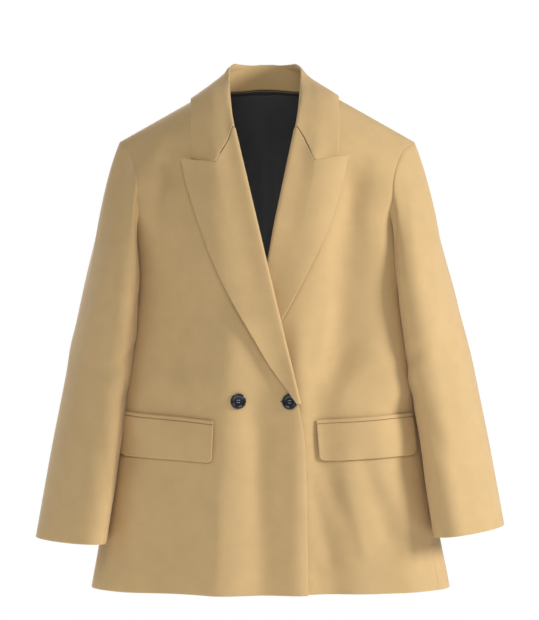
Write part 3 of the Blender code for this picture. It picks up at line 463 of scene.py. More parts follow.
# Wrinkles of the lining: x, level, slant, reach, half length, depth
LINING_WRINKLES = (
    (-34.0, -92.0, 62.0, 6.0, 40.0, 1.1),
    (-52.0, -128.0, 48.0, 8.0, 46.0, 1.0),
    (30.0, -100.0, -58.0, 7.0, 42.0, 1.1),
    (48.0, -146.0, -44.0, 8.0, 44.0, 0.9),
    (-20.0, -190.0, 70.0, 8.0, 60.0, 1.0),
    (24.0, -210.0, -72.0, 8.0, 60.0, 1.0),
)


def smooth(value, low, high):
    """0 to 1 as the value goes from low to high, eased at both ends."""
    share = np.clip((np.asarray(value, float) - low) / (high - low), 0.0, 1.0)
    return share * share * (3.0 - 2.0 * share)


def hermite(share, first, leave, last, arrive):
    """Cubic from first to last that leaves and arrives with these slopes."""
    square = share * share
    cube = square * share
    return (first * (2 * cube - 3 * square + 1) + leave * (cube - 2 * square + share)
            + last * (3 * square - 2 * cube) + arrive * (cube - square))


def between(first, last, share):
    return first * (1.0 - share) + last * share


def unit(vectors):
    return vectors / np.maximum(np.linalg.norm(vectors, axis=-1, keepdims=True), TINY)


def curve(keys, values, at):
    """Smooth curve through a table's rows; keys may rise or fall."""
    keys = np.asarray(keys, float)
    values = np.asarray(values, float)
    if keys[0] > keys[-1]:
        keys = keys[::-1]
        values = values[::-1]
    slopes = np.gradient(values, keys)
    at = np.clip(np.asarray(at, float), keys[0], keys[-1])
    place = np.clip(np.searchsorted(keys, at, side="right") - 1, 0, len(keys) - 2)
    span = keys[place + 1] - keys[place]
    return hermite((at - keys[place]) / span, values[place], slopes[place] * span, values[place + 1],
                   slopes[place + 1] * span)


def reach_along(points):
    """Distance along a broken line at each of its points."""
    steps = np.linalg.norm(np.diff(points, axis=0), axis=1)
    return np.concatenate([[0.0], np.cumsum(steps)])


def polyline(points, count):
    """Evenly spaced points along a broken line."""
    reach = reach_along(points)
    at = np.linspace(0.0, reach[-1], count)
    return np.stack([np.interp(at, reach, column) for column in points.T], axis=1)


def spline(points, shares):
    """Points of a smooth curve through the given points, at these shares of its length."""
    reach = reach_along(points)
    return np.stack([curve(reach, column, shares * reach[-1]) for column in points.T], axis=1)


def finer(values, times):
    """Values with this many even steps between each two."""
    at = np.arange((len(values) - 1) * times + 1) / times
    return np.interp(at, np.arange(len(values)), values)


def finer_root(levels, times):
    """Levels near the shoulder, spaced finer towards the shoulder line."""
    return -finer(np.sqrt(-np.asarray(levels, float)), times) ** 2


def finer_smooth(values, times):
    """A smooth curve through evenly counted values."""
    at = np.arange((len(values) - 1) * times + 1) / times
    return curve(np.arange(len(values)), values, at)


def finer_neck(turn, level, times):
    """Finer points of a neck seam, spaced finer towards the shoulder line."""
    return finer_smooth(turn, times), -np.maximum(finer_smooth(np.sqrt(-level), times), 0.0) ** 2


def refine(grid, times):
    """Smooth finer grid through a coarse one."""
    for _ in range(2):
        rows = [[finer_smooth(grid[:, c, i], times) for i in range(grid.shape[2])] for c in range(grid.shape[1])]
        grid = np.array(rows).transpose(0, 2, 1)
    return grid


def rise(x, face):
    """Height of the shoulder line above the origin at x; the back's carries up to the back neck."""
    away = np.abs(x)
    over = away - NECK_SIDE_X
    slope = -SHOULDER_SLOPE * 0.5 * (over + np.sqrt(over * over + SHOULDER_EASE)) + NECK_SIDE_RISE
    inner = np.clip(1.0 - (away / NECK_SIDE_X) ** 2, 0.0, 1.0)
    return slope + np.where(np.asarray(face) > 0, BACK_NECK_RISE - NECK_SIDE_RISE, 0.0) * inner


def carry(level):
    """How much of the shoulder slope is left at this level of the body."""
    return smooth(level, -SLOPE_REACH, 0.0)


def cap(level, height):
    """Depth of the body towards the shoulder line, as a share of its full depth."""
    up = np.clip(1.0 + level / height, 0.0, 1.0)
    return np.sqrt(np.clip(1.0 - up * up, 0.0, 1.0))


def body_row(level, column):
    return curve(BODY_ROWS[:, 0], BODY_ROWS[:, column], level)


def bare(turn, level):
    """Point of the body surface; turn 0 is the front centre and a quarter turn the +X side."""
    level = np.minimum(level, SEAM_LEVEL)
    sine = np.sin(turn)
    cosine = np.cos(turn)
    power = 2.0 / SECTION_POWER
    face = np.where(cosine >= 0.0, -1, 1)
    x = body_row(level, 4) + body_row(level, 1) * np.sign(sine) * np.abs(sine) ** power
    front = body_row(level, 2) * cap(level, FRONT_CAP)
    back = body_row(level, 3) * cap(level, BACK_CAP)
    y = np.where(cosine >= 0.0, -front, back) * np.abs(cosine) ** power
    z = level + rise(x, face) * carry(level)
    return np.stack([x, y, z], axis=-1)


def bare_normal(turn, level):
    """Outward direction of the body surface."""
    level = np.minimum(level, -SHOULDER_FLAT[0])
    side = bare(turn + TURN_STEP, level) - bare(turn - TURN_STEP, level)
    up = bare(turn, level + LEVEL_STEP) - bare(turn, level - LEVEL_STEP)
    normal = np.cross(side, up)
    # at the shoulder seam the two faces share one direction
    normal[..., 1] *= smooth(-level, *SHOULDER_FLAT)
    return unit(normal)


def fold_height(point, face, rows, end):
    """Sum of the folds at a point."""
    total = np.zeros(point.shape[:-1])
    for row_face, x0, z0, x1, z1, reach, height in rows:
        along = np.array([x1 - x0, z1 - z0])
        length = np.linalg.norm(along)
        along = along / length
        from_top = (point[..., 0] - x0) * along[0] + (point[..., 2] - z0) * along[1]
        across = (point[..., 0] - x0) * along[1] - (point[..., 2] - z0) * along[0]
        ends = smooth(from_top, -FOLD_EARLY * end, end) * (1.0 - smooth(from_top, length - end, length))
        total = total + (face == row_face) * height * ends * np.exp(-(across / reach) ** 2)
    return total


def slanted(along, up, slant, reach, length, depth):
    """Height of one slanted crease: soft to each side, blunt at its ends."""
    slope = math.radians(slant)
    off = up * math.cos(slope) - along * math.sin(slope)
    run = up * math.sin(slope) + along * math.cos(slope)
    return depth * np.exp(-(off / reach) ** 2) * np.exp(-(run / length) ** 4)


def waves(point):
    """Long uneven waves that keep the cloth from lying perfectly smooth."""
    total = np.zeros(point.shape[:-1])
    for height, along_x, along_z, phase in WAVES:
        total = total + height * np.sin(point[..., 0] * along_x + point[..., 2] * along_z
                                        + WAVE_DEPTH * point[..., 1] + phase)
    return total


def cross_lift(point, side):
    """Extra lift where the fronts cross: side -1 is the over front, 1 the under front."""
    if side == 0:
        return np.zeros(point.shape[:-1])
    depth = 1.0 - smooth(point[..., 2], CROSS_FULL, CROSS_TOP)
    spread = 1.0 - smooth(side * point[..., 0], CROSS_EDGE, CROSS_EDGE + CROSS_FADE)
    return (OVER_LIFT if side < 0 else UNDER_LIFT) * depth * spread


def surface(turn, level, lift, side=0):
    """Point of the cloth's mid surface, moved out by the lift."""
    turn = np.asarray(turn, float)
    level = np.asarray(level, float)
    point = bare(turn, level)
    face = np.where(np.cos(turn) >= 0.0, -1, 1)
    edge = smooth(np.abs(np.cos(turn)), 0.0, SIDE_FADE)
    folds = fold_height(point, face, FOLD_ROWS, FOLD_END) + fold_height(point, face, CREASE_ROWS, CREASE_END)
    low = smooth(-level, *WAVE_FADE)
    out = folds * edge + waves(point) * low + cross_lift(point, side) + lift
    return point + bare_normal(turn, level) * out[..., None]


def turn_at(x, level, face=-1):
    """Turn of the point at distance x from the centre plane."""
    share = (np.asarray(x, float) - body_row(level, 4)) / body_row(level, 1)
    share = np.clip(share, -1.0, 1.0)
    turn = np.arcsin(np.sign(share) * np.abs(share) ** (SECTION_POWER / 2.0))
    return np.where(np.asarray(face) < 0, turn, HALF_TURN - turn)


def level_at(x, z, face=-1):
    """Level of the surface's point that has this x and height z."""
    level = np.array(z, float)
    for _ in range(LEVEL_ROUNDS):
        level = np.minimum(level + LEVEL_PACE * (z - (level + rise(x, face) * carry(level))), SEAM_LEVEL)
    return level


def front_point(x, z, lift, side=0):
    """Point on the front surface by its x and height."""
    x = np.asarray(x, float)
    z = np.asarray(z, float)
    level = level_at(x, z)
    return surface(turn_at(x, level), level, lift, side)


def draw_in(grid, amount, edges):
    """Moves the named edges of a grid of points inwards along the grid."""
    moved = grid.copy()
    places = {"first_row": ((0,), (1,)), "last_row": ((-1,), (-2,)),
              "first_column": ((slice(None), 0), (slice(None), 1)),
              "last_column": ((slice(None), -1), (slice(None), -2))}
    for edge in edges:
        rim, near = places[edge]
        moved[rim] += unit(grid[near] - grid[rim]) * amount
    return moved


def grid_normals(grid):
    """Directions square to a grid of points."""
    return unit(np.cross(np.gradient(grid, axis=1), np.gradient(grid, axis=0)))


def mixed(first, last, count):
    """Rows of a grid running from one list of values to another."""
    return between(first[:, None], last[:, None], np.linspace(0.0, 1.0, count))


def near_edges(grid):
    """The grid with rows and columns added close to its four edges, and the share of full thickness there."""
    gaps, shares = np.array(EDGE_ROUND).T

    def widen(points):
        ends = []
        for rim, near in ((points[0], points[1]), (points[-1], points[-2])):
            step = np.maximum(np.linalg.norm((near - rim)[:, :3], axis=-1), TINY)
            ends.append([rim + (near - rim) * np.minimum(gap / step, EDGE_MOST * (i + 1))[:, None]
                         for i, gap in enumerate(gaps[1:])])
        made = np.concatenate([points[:1], ends[0], points[1:-1], ends[1][::-1], points[-1:]])
        edge = np.ones(len(made))
        edge[:len(shares)] = shares
        edge[-len(shares):] = shares[::-1]
        return made, edge

    grid, down = widen(grid)
    grid, across = widen(grid.transpose(1, 0, 2))
    return grid.transpose(1, 0, 2), np.minimum(down[:, None], across[None, :])


def add_mesh(name, ending, points, faces, materials):
    """One smooth object at the origin from millimetre points; its mesh keeps the plain name."""
    mesh = bpy.data.meshes.new(name)
    mesh.from_pydata((points * MM).tolist(), [], faces)
    for made in materials:
        mesh.materials.append(made)
    mesh.polygons.foreach_set("use_smooth", np.ones(len(faces), bool))
    mesh.update()
    made = bpy.data.objects.new(name + ending, mesh)
    bpy.context.scene.collection.objects.link(made)
    return made


def add_wall(name, outer, inner, uv, materials, lined=None):
    """Closed wall of cloth between two grids of points, its edges rounded, with a UV in metres. lined says which
    inner quads show the second material."""
    stack, share = near_edges(np.concatenate([outer, inner, uv], axis=-1))
    middle = (stack[..., :3] + stack[..., 3:6]) / 2
    half = (stack[..., :3] - stack[..., 3:6]) / 2 * share[..., None]
    outer = middle + half
    inner = middle - half
    rows, columns = share.shape
    shift = rows * columns
    index = np.arange(shift).reshape(rows, columns)
    quads = np.stack([index[:-1, :-1], index[:-1, 1:], index[1:, 1:], index[1:, :-1]], axis=-1).reshape(-1, 4)
    rim = np.concatenate([index[0], index[1:, -1], index[-1, -2::-1], index[-2:0:-1, 0]])
    after = np.roll(rim, -1)
    band = np.stack([after, rim, shift + rim, shift + after], axis=-1)
    faces = np.concatenate([quads, shift + quads[:, ::-1], band])
    a, b, d = outer[:-1, :-1], outer[:-1, 1:], outer[1:, :-1]
    if np.sum(np.cross(b - a, d - a) * half[:-1, :-1]) < 0.0:
        faces = faces[:, ::-1]
    points = np.concatenate([outer.reshape(-1, 3), inner.reshape(-1, 3)])
    made = add_mesh(name, "_cloth", points, faces.tolist(), materials)
    if lined is not None:
        shown = np.zeros(len(faces), np.int32)
        shown[len(quads):2 * len(quads)] = lined((middle[:-1, :-1] + middle[1:, 1:]) / 2).reshape(-1)
        made.data.polygons.foreach_set("material_index", shown)
    loops = np.zeros(len(made.data.loops), np.int32)
    made.data.loops.foreach_get("vertex_index", loops)
    flat = stack[..., 6:8].reshape(-1, 2)[loops % shift] * MM
    made.data.uv_layers.new(name="cloth").data.foreach_set("uv", flat.astype(np.float32).ravel())
    return made


def arc_uv(grid):
    """Lengths along the rows and down the columns of a grid, as a flat pattern."""
    across = np.linalg.norm(np.diff(grid, axis=1), axis=-1)
    down = np.linalg.norm(np.diff(grid, axis=0), axis=-1).mean(axis=1)
    u = np.concatenate([np.zeros((len(grid), 1)), np.cumsum(across, axis=1)], axis=1)
    u = u - u.mean(axis=1, keepdims=True)
    v = np.concatenate([[0.0], np.cumsum(down)])
    return np.stack([u, np.repeat(-v[:, None], grid.shape[1], axis=1)], axis=-1)


def body_uv(turns, levels):
    """Flat pattern of a body piece: the way round and the level."""
    return np.stack([turns * BODY_ROUND, levels], axis=-1)


def cloth():
    return bpy.context.scene.blazer_cloth


def armhole_turns(face, levels):
    """Turns of the armhole line on one face."""
    rows = ARMHOLE_FRONT if face < 0 else ARMHOLE_BACK
    share = curve(rows[:, 0], rows[:, 1], levels)
    turn = np.arcsin(share ** (SECTION_POWER / 2.0))
    return turn if face < 0 else HALF_TURN - turn


def seam_turn(face):
    """Turn of the seam between the side panel and the front, or the back."""
    turn = math.asin(SIDE_SEAM_SHARE ** (SECTION_POWER / 2.0))
    return turn if face < 0 else HALF_TURN - turn


def roll_x(side, z):
    """x of the roll line on one front, at height z."""
    edge = OVER_EDGE if side < 0 else UNDER_EDGE
    top = side * FRONT_NECK[-1, 0] + NECK_SHIFT
    share = (z - ROLL_TOP_LEVEL) / (BREAK_LEVEL - ROLL_TOP_LEVEL)
    return top + (edge[-1, 1] - top) * share


def front_first(side, times):
    """Turn and level of every point down the front's inner edge: neck, roll line, then the free edge."""
    neck_x = side * FRONT_NECK[:, 0] + NECK_SHIFT
    neck_x[0] = side * NECK_SIDE_X
    level = level_at(neck_x, FRONT_NECK[:, 1])
    level[0] = 0.0
    neck_turn, neck_level = finer_neck(turn_at(neck_x, level), level, times)
    roll_z = finer(ROLL_LEVELS, times)[1:]
    table = OVER_EDGE if side < 0 else UNDER_EDGE
    free_z = finer(FREE_LEVELS, times)[1:]
    x = np.concatenate([roll_x(side, roll_z), curve(table[:, 0], table[:, 1], free_z)])
    z = np.concatenate([roll_z, free_z])
    low_level = level_at(x, z)
    return np.concatenate([neck_turn, turn_at(x, low_level)]), np.concatenate([neck_level, low_level])


def side_levels(times):
    """Levels of the seam points down the armhole and the side, shared by fronts, sides and backs."""
    arm = finer_root(ARM_LEVELS, times)
    low = finer(np.concatenate([ARM_LEVELS[-1:], LOW_LEVELS]), times)[1:]
    return arm, low


def underarm(times):
    """Turns across the side panel's top, from the front seam to the back seam, and the level at each."""
    turns = np.linspace(seam_turn(-1), seam_turn(1), SIDE_COLUMNS * times + 1)
    dip = 1.0 - ((turns - QUARTER_TURN) / (turns[-1] - QUARTER_TURN)) ** 2
    return turns, CORNER_LEVEL + (UNDERARM_LEVEL - CORNER_LEVEL) * dip


def above_turn_up(centre):
    """True on the inner faces above the hem's turn-up, which the lining covers."""
    return centre[..., 2] > HEM_LEVEL + HEM_TURN_UP


def panel(name, turns, levels, side, lined):
    """One panel of the body, lined inside."""
    outer = draw_in(surface(turns, levels, CLOTH_WALL / 2, side), SEAM_INSET, SEWN_EDGES)
    inner = draw_in(surface(turns, levels, -CLOTH_WALL / 2, side), -SEAM_UNDERLAP, SEWN_EDGES)
    piece = add_wall(name, outer, inner, body_uv(turns, levels), (suiting(), satin()), lined)
    declare(piece, name)


def declare(piece, node):
    """States the piece's body and hides the frame node it stands for."""
    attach(piece, "root")
    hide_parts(node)


def make_fronts():
    times = cloth().fineness
    arm, low = side_levels(times)
    last_level = np.concatenate([arm, low])
    for side, name in ((-1, "front_over"), (1, "front_under")):
        first, level = front_first(side, times)
        last = side * np.concatenate([armhole_turns(-1, arm), np.full(len(low), seam_turn(-1))])

        def lined(centre, side=side):
            roll = roll_x(side, np.clip(centre[..., 2], BREAK_LEVEL, ROLL_TOP_LEVEL))
            return (side * (centre[..., 0] - roll) > FACING_WIDTH) & above_turn_up(centre)

        panel(name, mixed(first, last, FRONT_COLUMNS * times), mixed(level, last_level, FRONT_COLUMNS * times),
              side, lined)


def make_sides():
    times = cloth().fineness
    levels = np.concatenate([[CORNER_LEVEL], side_levels(times)[1]])
    turns, top = underarm(times)
    share = (levels[:, None] - HEM_LEVEL) / (CORNER_LEVEL - HEM_LEVEL)
    grid_levels = HEM_LEVEL + (top[None, :] - HEM_LEVEL) * share
    for side, name in ((-1, "side_right"), (1, "side_left")):
        panel(name, np.repeat(side * turns[None, :], len(levels), axis=0), grid_levels, 0, above_turn_up)


def make_backs():
    times = cloth().fineness
    arm, low = side_levels(times)
    neck_level = np.minimum(BACK_NECK[:, 1], SEAM_LEVEL)
    neck_turn, neck_level = finer_neck(turn_at(BACK_NECK[:, 0], neck_level, 1), neck_level, times)
    centre = finer(np.concatenate([BACK_NECK[-1:, 1], CENTRE_LEVELS]), times)[1:]
    seam_levels = np.concatenate([neck_level, centre, low])
    seam_turns = np.concatenate([neck_turn, np.full(len(centre) + len(low), HALF_TURN)])
    side_turns = np.concatenate([armhole_turns(1, arm), np.full(len(low), seam_turn(1))])
    turns = mixed(seam_turns, side_turns, BACK_COLUMNS * times)
    levels = mixed(seam_levels, np.concatenate([arm, low]), BACK_COLUMNS * times)
    for side, name in ((-1, "back_right"), (1, "back_left")):
        panel(name, side * turns, levels, 0, above_turn_up)


def armhole_loop(side, times):
    """Turn and level of each point round the armhole, from the shoulder down the front and up the back."""
    arm, _ = side_levels(times)
    dip_turns, dip_levels = underarm(times)
    turns = np.concatenate([armhole_turns(-1, arm), dip_turns[1:-1], armhole_turns(1, arm)[:0:-1]])
    levels = np.concatenate([arm, dip_levels[1:-1], arm[:0:-1]])
    return side * turns, levels


def sleeve_sections(side, times, count):
    """Rings of the sleeve from below its head to the cuff."""
    angle = FULL_TURN * np.arange(count) / count
    tilt = math.radians(TILT_LEFT if side > 0 else TILT_RIGHT)
    table = np.stack([finer_smooth(column, times) for column in SLEEVE_ROWS.T], axis=1)
    rings = []
    for x, y, z, long_half, short_half, turn in table:
        if side > 0:
            x = x + SWING_OUT * (1.0 - float(smooth(z, SWING_FULL, SWING_FROM)))
            z = z + SWING_UP * (z - SWING_FROM) / (SLEEVE_ROWS[-1, 2] - SWING_FROM)
        turn = math.radians(turn)
        # angle 0 is the outer side, a quarter turn the front
        away = math.cos(turn) * short_half * np.cos(angle) - math.sin(turn) * long_half * np.sin(angle)
        ahead = math.sin(turn) * short_half * np.cos(angle) + math.cos(turn) * long_half * np.sin(angle)
        rings.append(np.stack([side * (x + away * math.cos(tilt)), y - ahead, z + away * math.sin(tilt)], axis=1))
    return rings


def sleeve_rings(side, times):
    """Rings of the sleeve's mid surface from the armhole to the cuff, and the edge tucked under the body."""
    turns, levels = armhole_loop(side, times)
    count = len(turns)
    start = surface(turns, levels, 0.0)
    out = bare_normal(turns, levels)
    lean = math.radians(HEAD_LEAN)
    down = np.array([side * math.sin(lean), HEAD_FORWARD, -math.cos(lean)])
    under = np.exp(-((np.arange(count) / times - count / times / 2.0) / UNDERARM_SPREAD) ** 2)[:, None]
    level_out = unit(out * np.array([1.0, 1.0, 0.0]))
    leave = unit(down + HEAD_FULLNESS * level_out * (1.0 - UNDERARM_SLACK * under))
    tucked = start - leave * SEAM_ALLOWANCE[0] - out * SEAM_ALLOWANCE[1]
    start = start + leave * HEAD_START_OUT + out * UNDERARM_CLEAR * under
    sections = sleeve_sections(side, times, count)
    reach = np.linalg.norm(sections[0] - start, axis=1, keepdims=True)
    steps = HEAD_RINGS * times
    head = [hermite(i / steps, start, leave * reach, sections[0], down * reach) for i in range(steps)]
    rings = np.array(head + sections)
    share = np.exp(-((np.arange(1, len(rings) - 1) - steps) / (HEAD_SMOOTH_REACH * times)) ** 2)[:, None, None]
    for _ in range(HEAD_SMOOTH):
        rings[1:-1] += (0.5 * rings[1:-1] + 0.25 * (rings[:-2] + rings[2:]) - rings[1:-1]) * share
    return rings, tucked


def sleeve_creases(side, rings, count):
    """Height of the sleeve's creases at each ring and column."""
    rows = SLEEVE_CREASES_LEFT if side > 0 else SLEEVE_CREASES_RIGHT
    height = rings.mean(axis=1)[:, 2][:, None]
    around = (np.arange(rings.shape[1]) * 360.0 / count)[None, :]
    total = np.zeros(rings.shape[:2])
    for angle, z, slant, length, reach, depth in rows:
        along = ((around - angle + 180.0) % 360.0 - 180.0) * SLEEVE_DEGREE
        total = total + slanted(along, height - z, slant, reach, length, depth)
    return total * smooth(height[0] - height, *CREASE_FREE)


def make_sleeves():
    times = cloth().fineness
    for side, word in ((-1, "right"), (1, "left")):
        rings, tucked = sleeve_rings(side, times)
        count = rings.shape[1]
        closed = np.concatenate([rings[:, -1:], rings, rings[:, :2]], axis=1)
        normal = grid_normals(closed)[:, 1:-2]
        centre = rings.mean(axis=1, keepdims=True)
        if np.sum(normal * (rings - centre)) < 0.0:
            normal = -normal
        rings = rings + normal * sleeve_creases(side, rings, count)[..., None]
        rings = np.concatenate([tucked[None], rings])
        normal = np.concatenate([normal[:1], normal])
        outer = rings + normal * CLOTH_WALL / 2
        inner = rings - normal * CLOTH_WALL / 2
        cuff = rings[-1, :, 2].mean() + CUFF_TURN_UP
        under = np.arange(UNDER_SLEEVE_FROM * times, UNDER_SLEEVE_TO * times + 1)
        top = np.arange(UNDER_SLEEVE_TO * times, count + UNDER_SLEEVE_FROM * times + 1) % count
        for name, columns in ((f"top_sleeve_{word}", top), (f"under_sleeve_{word}", under)):
            piece = add_wall(name, draw_in(outer[:, columns], SEAM_INSET, SEWN_EDGES[1:]),
                             draw_in(inner[:, columns], -SEAM_UNDERLAP, SEWN_EDGES[1:]), arc_uv(rings[:, columns]),
                             (suiting(), satin()), lambda middle: middle[..., 2] > cuff)
            declare(piece, name)


def lapel_flat(side, times):
    """x and height of a lapel's points: columns run from the roll line to the outer edge, rows to the break."""
    top_points = OVER_LAPEL_TOP if side < 0 else UNDER_LAPEL_TOP
    edge_points = OVER_LAPEL_EDGE if side < 0 else UNDER_LAPEL_EDGE
    heights = finer(LAPEL_LEVELS, times)
    roll = np.stack([roll_x(side, heights), heights], axis=1)
    down = (heights - heights[0]) / (heights[-1] - heights[0])
    edge = spline(edge_points, down)
    gorge_line = polyline(np.concatenate([roll[:1], top_points[:2]]), GORGE_STEPS * times + 1)
    peak_line = polyline(top_points[1:], PEAK_STEPS * times + 1)
    top = np.concatenate([gorge_line, peak_line[1:]])
    share = np.linspace(0.0, 1.0, (GORGE_STEPS + PEAK_STEPS) * times + 1)
    flat = between(roll[:, None], edge[:, None], share[None, :, None])
    straight = between(top[0], top[-1], share[:, None])
    fade = (1.0 - down) ** 3
    return flat + fade[:, None, None] * (top - straight)[None], roll


def lapel_mid(side, times, roll_steps):
    """Mid surface of a lapel: turned over at the roll line, then lying on its front."""
    flat, roll = lapel_flat(side, times)
    away = np.array([-side * ROLL_AWAY[0], ROLL_AWAY[1]])
    roll_level = level_at(roll[:, 0], roll[:, 1])
    normal = bare_normal(turn_at(roll[:, 0], roll_level), roll_level)
    radius = np.full(len(roll), ROLL_RADIUS)
    if side > 0:
        hidden = 1.0 - smooth(roll[:, 1], CROSS_FULL, CROSS_TOP)
        radius = between(radius, HIDDEN_ROLL, hidden)
    columns = [front_point(roll[:, 0], roll[:, 1], 0.0, side)]
    angles = finer(np.array(ROLL_ANGLES), roll_steps)
    for angle in np.radians(angles):
        moved = roll + away * (radius * math.cos(angle))[:, None]
        base = front_point(moved[:, 0], moved[:, 1], 0.0, side)
        columns.append(base + normal * (radius * (1.0 + math.sin(angle)))[:, None])
    for c in range(1, flat.shape[1]):
        reach = np.linalg.norm(flat[:, c] - roll, axis=1)
        lift = LAPEL_REST_LIFT + (2.0 * radius - LAPEL_REST_LIFT) * np.exp(-(reach / ROLL_SPREAD) ** 2)
        lift = lift + LAPEL_LIFT_EDGE * smooth(reach, *LAPEL_LIFT_REACH)
        columns.append(front_point(flat[:, c, 0], flat[:, c, 1], lift, side))
    return np.stack(columns, axis=1), normal


def make_lapels():
    for side, name in ((-1, "lapel_over"), (1, "lapel_under")):
        grid, normal = lapel_mid(side, cloth().fineness, ROLL_STEPS)
        normals = grid_normals(grid)
        if np.sum(normals[:, -3] * normal) < 0.0:
            normals = -normals
        half = np.full((grid.shape[0], grid.shape[1], 1), DOUBLE_WALL / 2)
        half[:, 0] = CLOTH_WALL / 2
        inset = np.array([-side * ROLL_INSET, 0.0, 0.0])
        outer = grid + normals * half
        inner = grid - normals * half
        outer[:, 0] += inset
        inner[:, 0] += inset
        piece = add_wall(name, outer, inner, arc_uv(grid), (suiting(),))
        declare(piece, name)


def collar_half(side):
    """Rows from the back centre to the front end: neck seam, fold and outer edge of the collar."""
    back = BACK_NECK[::-1]
    back_level = np.minimum(back[:, 1], SEAM_LEVEL)
    back_seam = surface(side * turn_at(back[:, 0], back_level, 1), back_level, 0.0)
    front_x = side * FRONT_NECK[:, 0] + NECK_SHIFT
    front_x[0] = side * NECK_SIDE_X
    front_seam = front_point(front_x, FRONT_NECK[:, 1], 0.0, side)
    seam = np.concatenate([back_seam, front_seam[1:]])
    reach = reach_along(seam)
    share = reach / reach[-1]
    fold_x, fold_y, fold_z, edge_x, edge_z = (curve(COLLAR_ROWS[:, 0], column, share) for column in COLLAR_ROWS.T[1:])
    fold = np.stack([side * fold_x + NECK_SHIFT, fold_y, fold_z], axis=1)
    edge = np.stack([side * edge_x + NECK_SHIFT, edge_z], axis=1)
    return seam, fold, edge, share


def push_out(points, lift):
    """Moves points that lie too near the body, or inside it, out to the lift."""
    moved = points.copy()
    for _ in range(PUSH_TIMES):
        face = np.where(moved[..., 1] < 0.0, -1, 1)
        level = level_at(moved[..., 0], moved[..., 2], face)
        turn = turn_at(moved[..., 0], level, face)
        normal = bare_normal(turn, level)
        depth = np.sum((moved - surface(turn, level, 0.0)) * normal, axis=-1)
        moved = moved + normal * np.maximum(lift - depth, 0.0)[..., None]
    return moved


def collar_end(side):
    """End of the collar: beside the gorge seam to the notch, then along the lapel's top edge to the corner."""
    top = lapel_mid(side, 1, 1)[0][0]
    points = COLLAR_END_OVER if side < 0 else COLLAR_END_UNDER
    seam = top[:len(ROLL_ANGLES) + 1 + GORGE_STEPS].copy()
    seam = seam + np.array([side * GORGE_GAP[0], 0.0, GORGE_GAP[1]])
    seam[0] = top[0] + np.array([-side * NECK_GAP[0], 0.0, NECK_GAP[1]])
    free = front_point(points[:, 0], points[:, 1], LAPEL_REST_LIFT, side)
    return np.concatenate([seam, free])


def collar_grid():
    """Mid surface of the collar from the right end round the back to the left end."""
    halves = []
    for side in (-1, 1):
        seam, fold, edge, share = collar_half(side)
        face = np.where(np.arange(len(seam)) < len(BACK_NECK) - 1, 1, -1)
        level = level_at(edge[:, 0], edge[:, 1], face)
        rest = surface(turn_at(edge[:, 0], level, face), level, COLLAR_LIFT)
        rows = [seam + unit(fold - seam) * STAND_GAP, seam * 0.5 + fold * 0.5, fold]
        rows += [fold + (rest - fold) * s for s in LEAF_SHARES]
        rows = np.stack(rows, axis=1)
        change = collar_end(side) - rows[-1]
        weight = smooth(share, END_FROM, 1.0)
        rows = rows + weight[:, None, None] * change[None]
        for _ in range(SMOOTH_TIMES):
            leaf = rows[:, STAND_POINTS:]
            leaf[:-1] = push_out(leaf[:-1], COLLAR_LIFT)
            leaf[1:-1] = 0.5 * leaf[1:-1] + 0.25 * (leaf[:-2] + leaf[2:])
        halves.append(rows)
    return np.concatenate([halves[0][::-1], halves[1][1:]])


def make_collar():
    times = cloth().fineness
    grid = refine(collar_grid(), times)
    normals = grid_normals(grid)
    if normals[len(grid) // 2, -2, 1] < 0.0:
        normals = -normals
    piece = add_wall("collar", grid + normals * DOUBLE_WALL / 2, grid - normals * DOUBLE_WALL / 2,
                     arc_uv(grid), (suiting(),))
    declare(piece, "collar")


def patch_flat(corners, rows, columns, round_corners):
    """x and height of the points of a small piece, its lower corners rounded."""
    down = np.linspace(0.0, 1.0, rows)[:, None, None]
    across = np.linspace(0.0, 1.0, columns)[None, :, None]
    flat = between(between(corners[0], corners[1], across), between(corners[3], corners[2], across), down)
    if not round_corners:
        return flat
    width = np.linalg.norm(corners[1] - corners[0])
    height = np.linalg.norm(corners[3] - corners[0])
    upward = (corners[0] - corners[3]) / height
    b = np.clip(1.0 - (1.0 - down) * height / FLAP_CORNER, 0.0, 1.0)
    for end in (0, 1):
        inward = (corners[1 - end] - corners[end]) / width
        a = np.clip(1.0 - np.abs(across - end) * width / FLAP_CORNER, 0.0, 1.0)
        squeeze = 1.0 - np.maximum(a, b) / np.maximum(np.hypot(a, b), TINY)
        squeeze = np.where((a > 0.0) & (b > 0.0), squeeze, 0.0) * FLAP_CORNER
        flat = flat + a * squeeze * inward + b * squeeze * upward
    return flat


def patch(name, flat, lift, wall, side):
    """Small piece laid on the front by the x and z of its points."""
    outer = front_point(flat[..., 0], flat[..., 1], lift + wall / 2, side)
    inner = front_point(flat[..., 0], flat[..., 1], lift - wall / 2, side)
    piece = add_wall(name, outer, inner, flat, (suiting(),))
    declare(piece, name)


def make_pockets():
    times = cloth().fineness
    columns = POCKET_COLUMNS * times + 1
    for side, word, corners in ((-1, "right", FLAP_RIGHT), (1, "left", FLAP_LEFT)):
        flat = patch_flat(corners, FLAP_ROWS * times + 1, columns, True)
        lift = FLAP_LIFT + FLAP_SWELL * np.sin(np.linspace(0.0, math.pi, flat.shape[0]))[:, None]
        patch(f"flap_{word}", flat, lift, DOUBLE_WALL, side)
        jet = corners[[0, 1, 1, 0]]
        jet[:2, 1] += JET_GAP + JET_HEIGHT
        jet[2:, 1] += JET_GAP
        patch(f"jet_{word}", patch_flat(jet, JET_ROWS * times + 1, columns, False), JET_LIFT, CLOTH_WALL, side)


